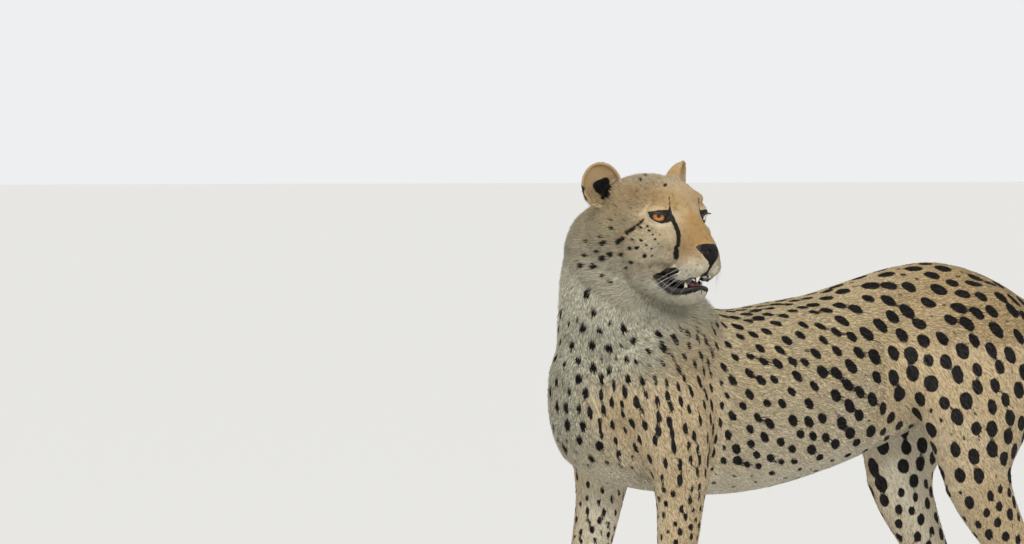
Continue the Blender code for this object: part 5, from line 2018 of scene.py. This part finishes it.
def tongue():
    """The tongue: a low loft with a groove along its middle, raised at its sides."""
    place, radii, tilt = (0.0275, 0.0, -0.1056), (0.0195, 0.0110, 0.0054), 4.0
    bm = bmesh.new()
    bmesh.ops.create_uvsphere(bm, u_segments=40, v_segments=28, radius=1)
    bmesh.ops.rotate(bm, matrix=Matrix.Rotation(math.pi / 2, 3, "Y"), verts=bm.verts)
    for v in bm.verts:
        groove = math.exp(-((v.co.y / 0.22) ** 2)) * 0.45 * (v.co.z > 0)
        v.co.z = v.co.z * (1 - groove) + 0.5 * v.co.y**2 * (1 - abs(v.co.x))
        v.co.z -= 0.35 * max(v.co.x, 0) ** 3
    turn = Matrix.Rotation(math.radians(tilt), 4, "Y")
    shape = HEAD @ Matrix.Translation(place) @ turn @ Matrix.Diagonal((*radii, 1))
    return dressed(finished("tongue_shaped", bm, shape), "tongue", "tongue_skin", "tongue")


# --- Whiskers and claws ---


def whiskers(tree):
    """Long thin white hairs from the rows of dots on the lips."""
    made = []
    turn = HEAD.to_3x3()
    for side in SIDES.values():
        for row in WHISKER_ROWS:
            for i, (along, up) in enumerate(row):
                length, stir = 0.030 + 0.009 * i + 0.012 * RANDOM.random(), RANDOM.normal(0, 0.10, 2)
                forward, outward = math.cos(CHEEK_TURN), math.sin(CHEEK_TURN)
                out = forward * 0.13 - outward * along
                start = Vector((forward * along + outward * 0.13, out * side, up))
                hit = tree.ray_cast(HEAD @ start, turn @ Vector((-outward, -forward * side, 0)))
                if hit[0] is None:
                    continue
                way = (turn @ Vector((-0.45 - 0.20 * i + stir[0], side * 0.60, -0.55 + stir[1]))).normalized()
                path, radii = [], []
                for step in range(8):
                    t = step / 7
                    path.append(hit[0] + way * (length * t - 0.001) + Vector((0, 0, -0.16 * length * t * t)))
                    radii.append(0.00024 * (1 - 0.80 * t))
                made.append(rod("whisker_form", path, radii, 4))
    return dressed(joined("whiskers", made), "whisker", "whisker_hair")


def claw(name, foot, stations, index, side, stride):
    """One blunt curved claw at the end of a toe."""
    x, y = stations[-2][:2]
    offset, length = TOES[index - 1]
    tip = Vector(((x + offset) * side, y - length * 1.05 + stride * 0.97, 0.0165)) + SHIFT
    path, radii = [], []
    for i in range(9):
        t = i / 8
        drop = 0.0005 + 0.0075 * t**1.7
        path.append(tip + Vector((0, 0.002 - 0.0150 * t, 0.0015 - drop)))
        radii.append(0.0030 * max(0.10, (1 - t**1.8) ** 0.8))
    obj = rod(f"claw_{foot}_{name}_{index}", path, radii, 12)
    return dressed(obj, "claw", "horn", f"{foot}_{name}_claw_{index}")


# --- Floor, light and camera ---


def aimed(obj, way):
    """Turns a lamp or a camera to look this way."""
    obj.rotation_euler = Vector(way).to_track_quat("-Z", "Y").to_euler()


def lamp(name, kind, place, way, **settings):
    """A lamp at this place, shining this way."""
    light = bpy.data.lights.new(name, kind)
    for key, value in settings.items():
        setattr(light, key, value)
    obj = in_scene(name, light)
    obj.location = place
    aimed(obj, way)


def floor_and_light():
    """A plain floor, an even sky, a low broad sun and a soft box that also puts a light in the eye."""
    bm = bmesh.new()
    bmesh.ops.create_grid(bm, x_segments=1, y_segments=1, size=150)
    floor = finished("floor", bm)
    floor.data.materials.append(MATERIALS["floor"])
    bpy.context.scene.view_settings.view_transform = "Standard"
    world = bpy.data.worlds.new("studio")
    world.use_nodes = True
    sky = world.node_tree.nodes["Background"].inputs
    sky["Color"].default_value = (0.93, 0.94, 0.95, 1)
    sky["Strength"].default_value = 0.92
    bpy.context.scene.world = world
    sun = {"energy": 1.8, "angle": math.radians(14), "color": (1.0, 0.96, 0.88)}
    lamp("sun", "SUN", (0, 0, 0), (-0.20, 0.28, -0.94), **sun)
    lamp("soft_box", "AREA", (4.8, -1.9, 3.0), (-4.7, 1.75, -2.25), shape="DISK", size=1.2, energy=112.0)


def placed_camera():
    """The camera stands 14 m off, turned a little left and down, with the body at the frame's right."""
    view = math.radians(60)
    right = Vector((math.cos(view), math.sin(view), 0))
    back = Vector((math.sin(view), -math.cos(view), 0))
    camera = bpy.data.cameras.new("camera")
    camera.lens = 314.0
    camera.sensor_width = 36.0
    camera.clip_start, camera.clip_end = 0.5, 1000.0
    obj = in_scene("camera", camera)
    obj.location = right * -0.107 + back * 14.0 + Vector((0, 0, 1.0)) + SHIFT
    left, down = math.tan(math.radians(1.3215)), math.tan(math.radians(0.8788))
    aimed(obj, -back - right * left - Vector((0, 0, down)))
    bpy.context.scene.camera = obj


# --- Making ---

FLESH = [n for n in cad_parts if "claw" not in n and not n.startswith(("eye_", "nose_pad", "tongue"))]


def coat_pieces(surface, centres):
    """The coat as pieces over the regions of the body."""
    kinds = surface["kinds"][surface["triangles"][:, 0]]
    middle = surface["places"][surface["triangles"]].mean(axis=1)
    head = is_kind(kinds, *HEAD_PARTS)
    face = head & (in_head(middle)[:, 0] > -0.045)
    crown = (head & ~face) | is_kind(kinds, "ear")
    chest = is_kind(kinds, "chest") & (bib(middle) < 0.5)
    neck = is_kind(kinds, "neck", "chest") & ~chest
    left = middle[:, 0] > SHIFT.x
    fore = is_kind(kinds, "upper_foreleg", "forearm", "forepaw")
    hind = is_kind(kinds, "thigh", "shank", "hind_foot", "hind_paw")
    locks = {"bent": True, "grizzle": 0.4, "even": 0.6}
    regions = [
        ("face", face, "head", 45000, 0.08, {"grizzle": 0.80, "even": 0.55}),
        ("crown", crown, "head", 42000, 0.12, {"grizzle": 0.45, "even": 0.55}),
        ("neck_left", neck & left, "neck", 18500, 0.15, locks),
        ("neck_right", neck & ~left, "neck", 18500, 0.15, locks),
        ("chest_left", chest & left, "trunk", 25500, 0.10, {}),
        ("chest_right", chest & ~left, "trunk", 25500, 0.10, {}),
        ("loins", is_kind(kinds, "loins"), "trunk", 49000, 0.10, {}),
        ("forelegs", fore, "forelegs", 40000, 0.15, {}),
        ("hindlegs", hind, "hindlegs", 44000, 0.12, {}),
        ("tail", is_kind(kinds, *TAIL_PARTS), "tail", 20000, 0.25, {}),
    ]
    for name, chosen, region, count, pull, more in regions:
        grown(f"coat_{name}", surface, chosen, region, count, centres, pull, **more)


def main():
    """Makes the whole model."""
    placed_camera()
    floor_and_light()
    skin = body_skin()
    surface = read_surface(skin)
    centres = spot_centres(surface)
    marked(skin, surface, centres)
    dressed(skin, "skin", "tan_coat", *FLESH)
    coat_pieces(surface, centres)
    for name, side in SIDES.items():
        eyeball(name, side)
        cornea(name, side)
        lid_rims(name, side)
        for foot, stations, stride in (("forepaw", FOREPAW, FORE_STRIDE), ("hind_paw", HINDPAW, HIND_STRIDE)):
            for index in range(1, 5):
                claw(name, foot, stations, index, side, stride[name])
    nose_leather()
    lips()
    teeth()
    gums()
    tongue()
    whiskers(surface["tree"])


main()
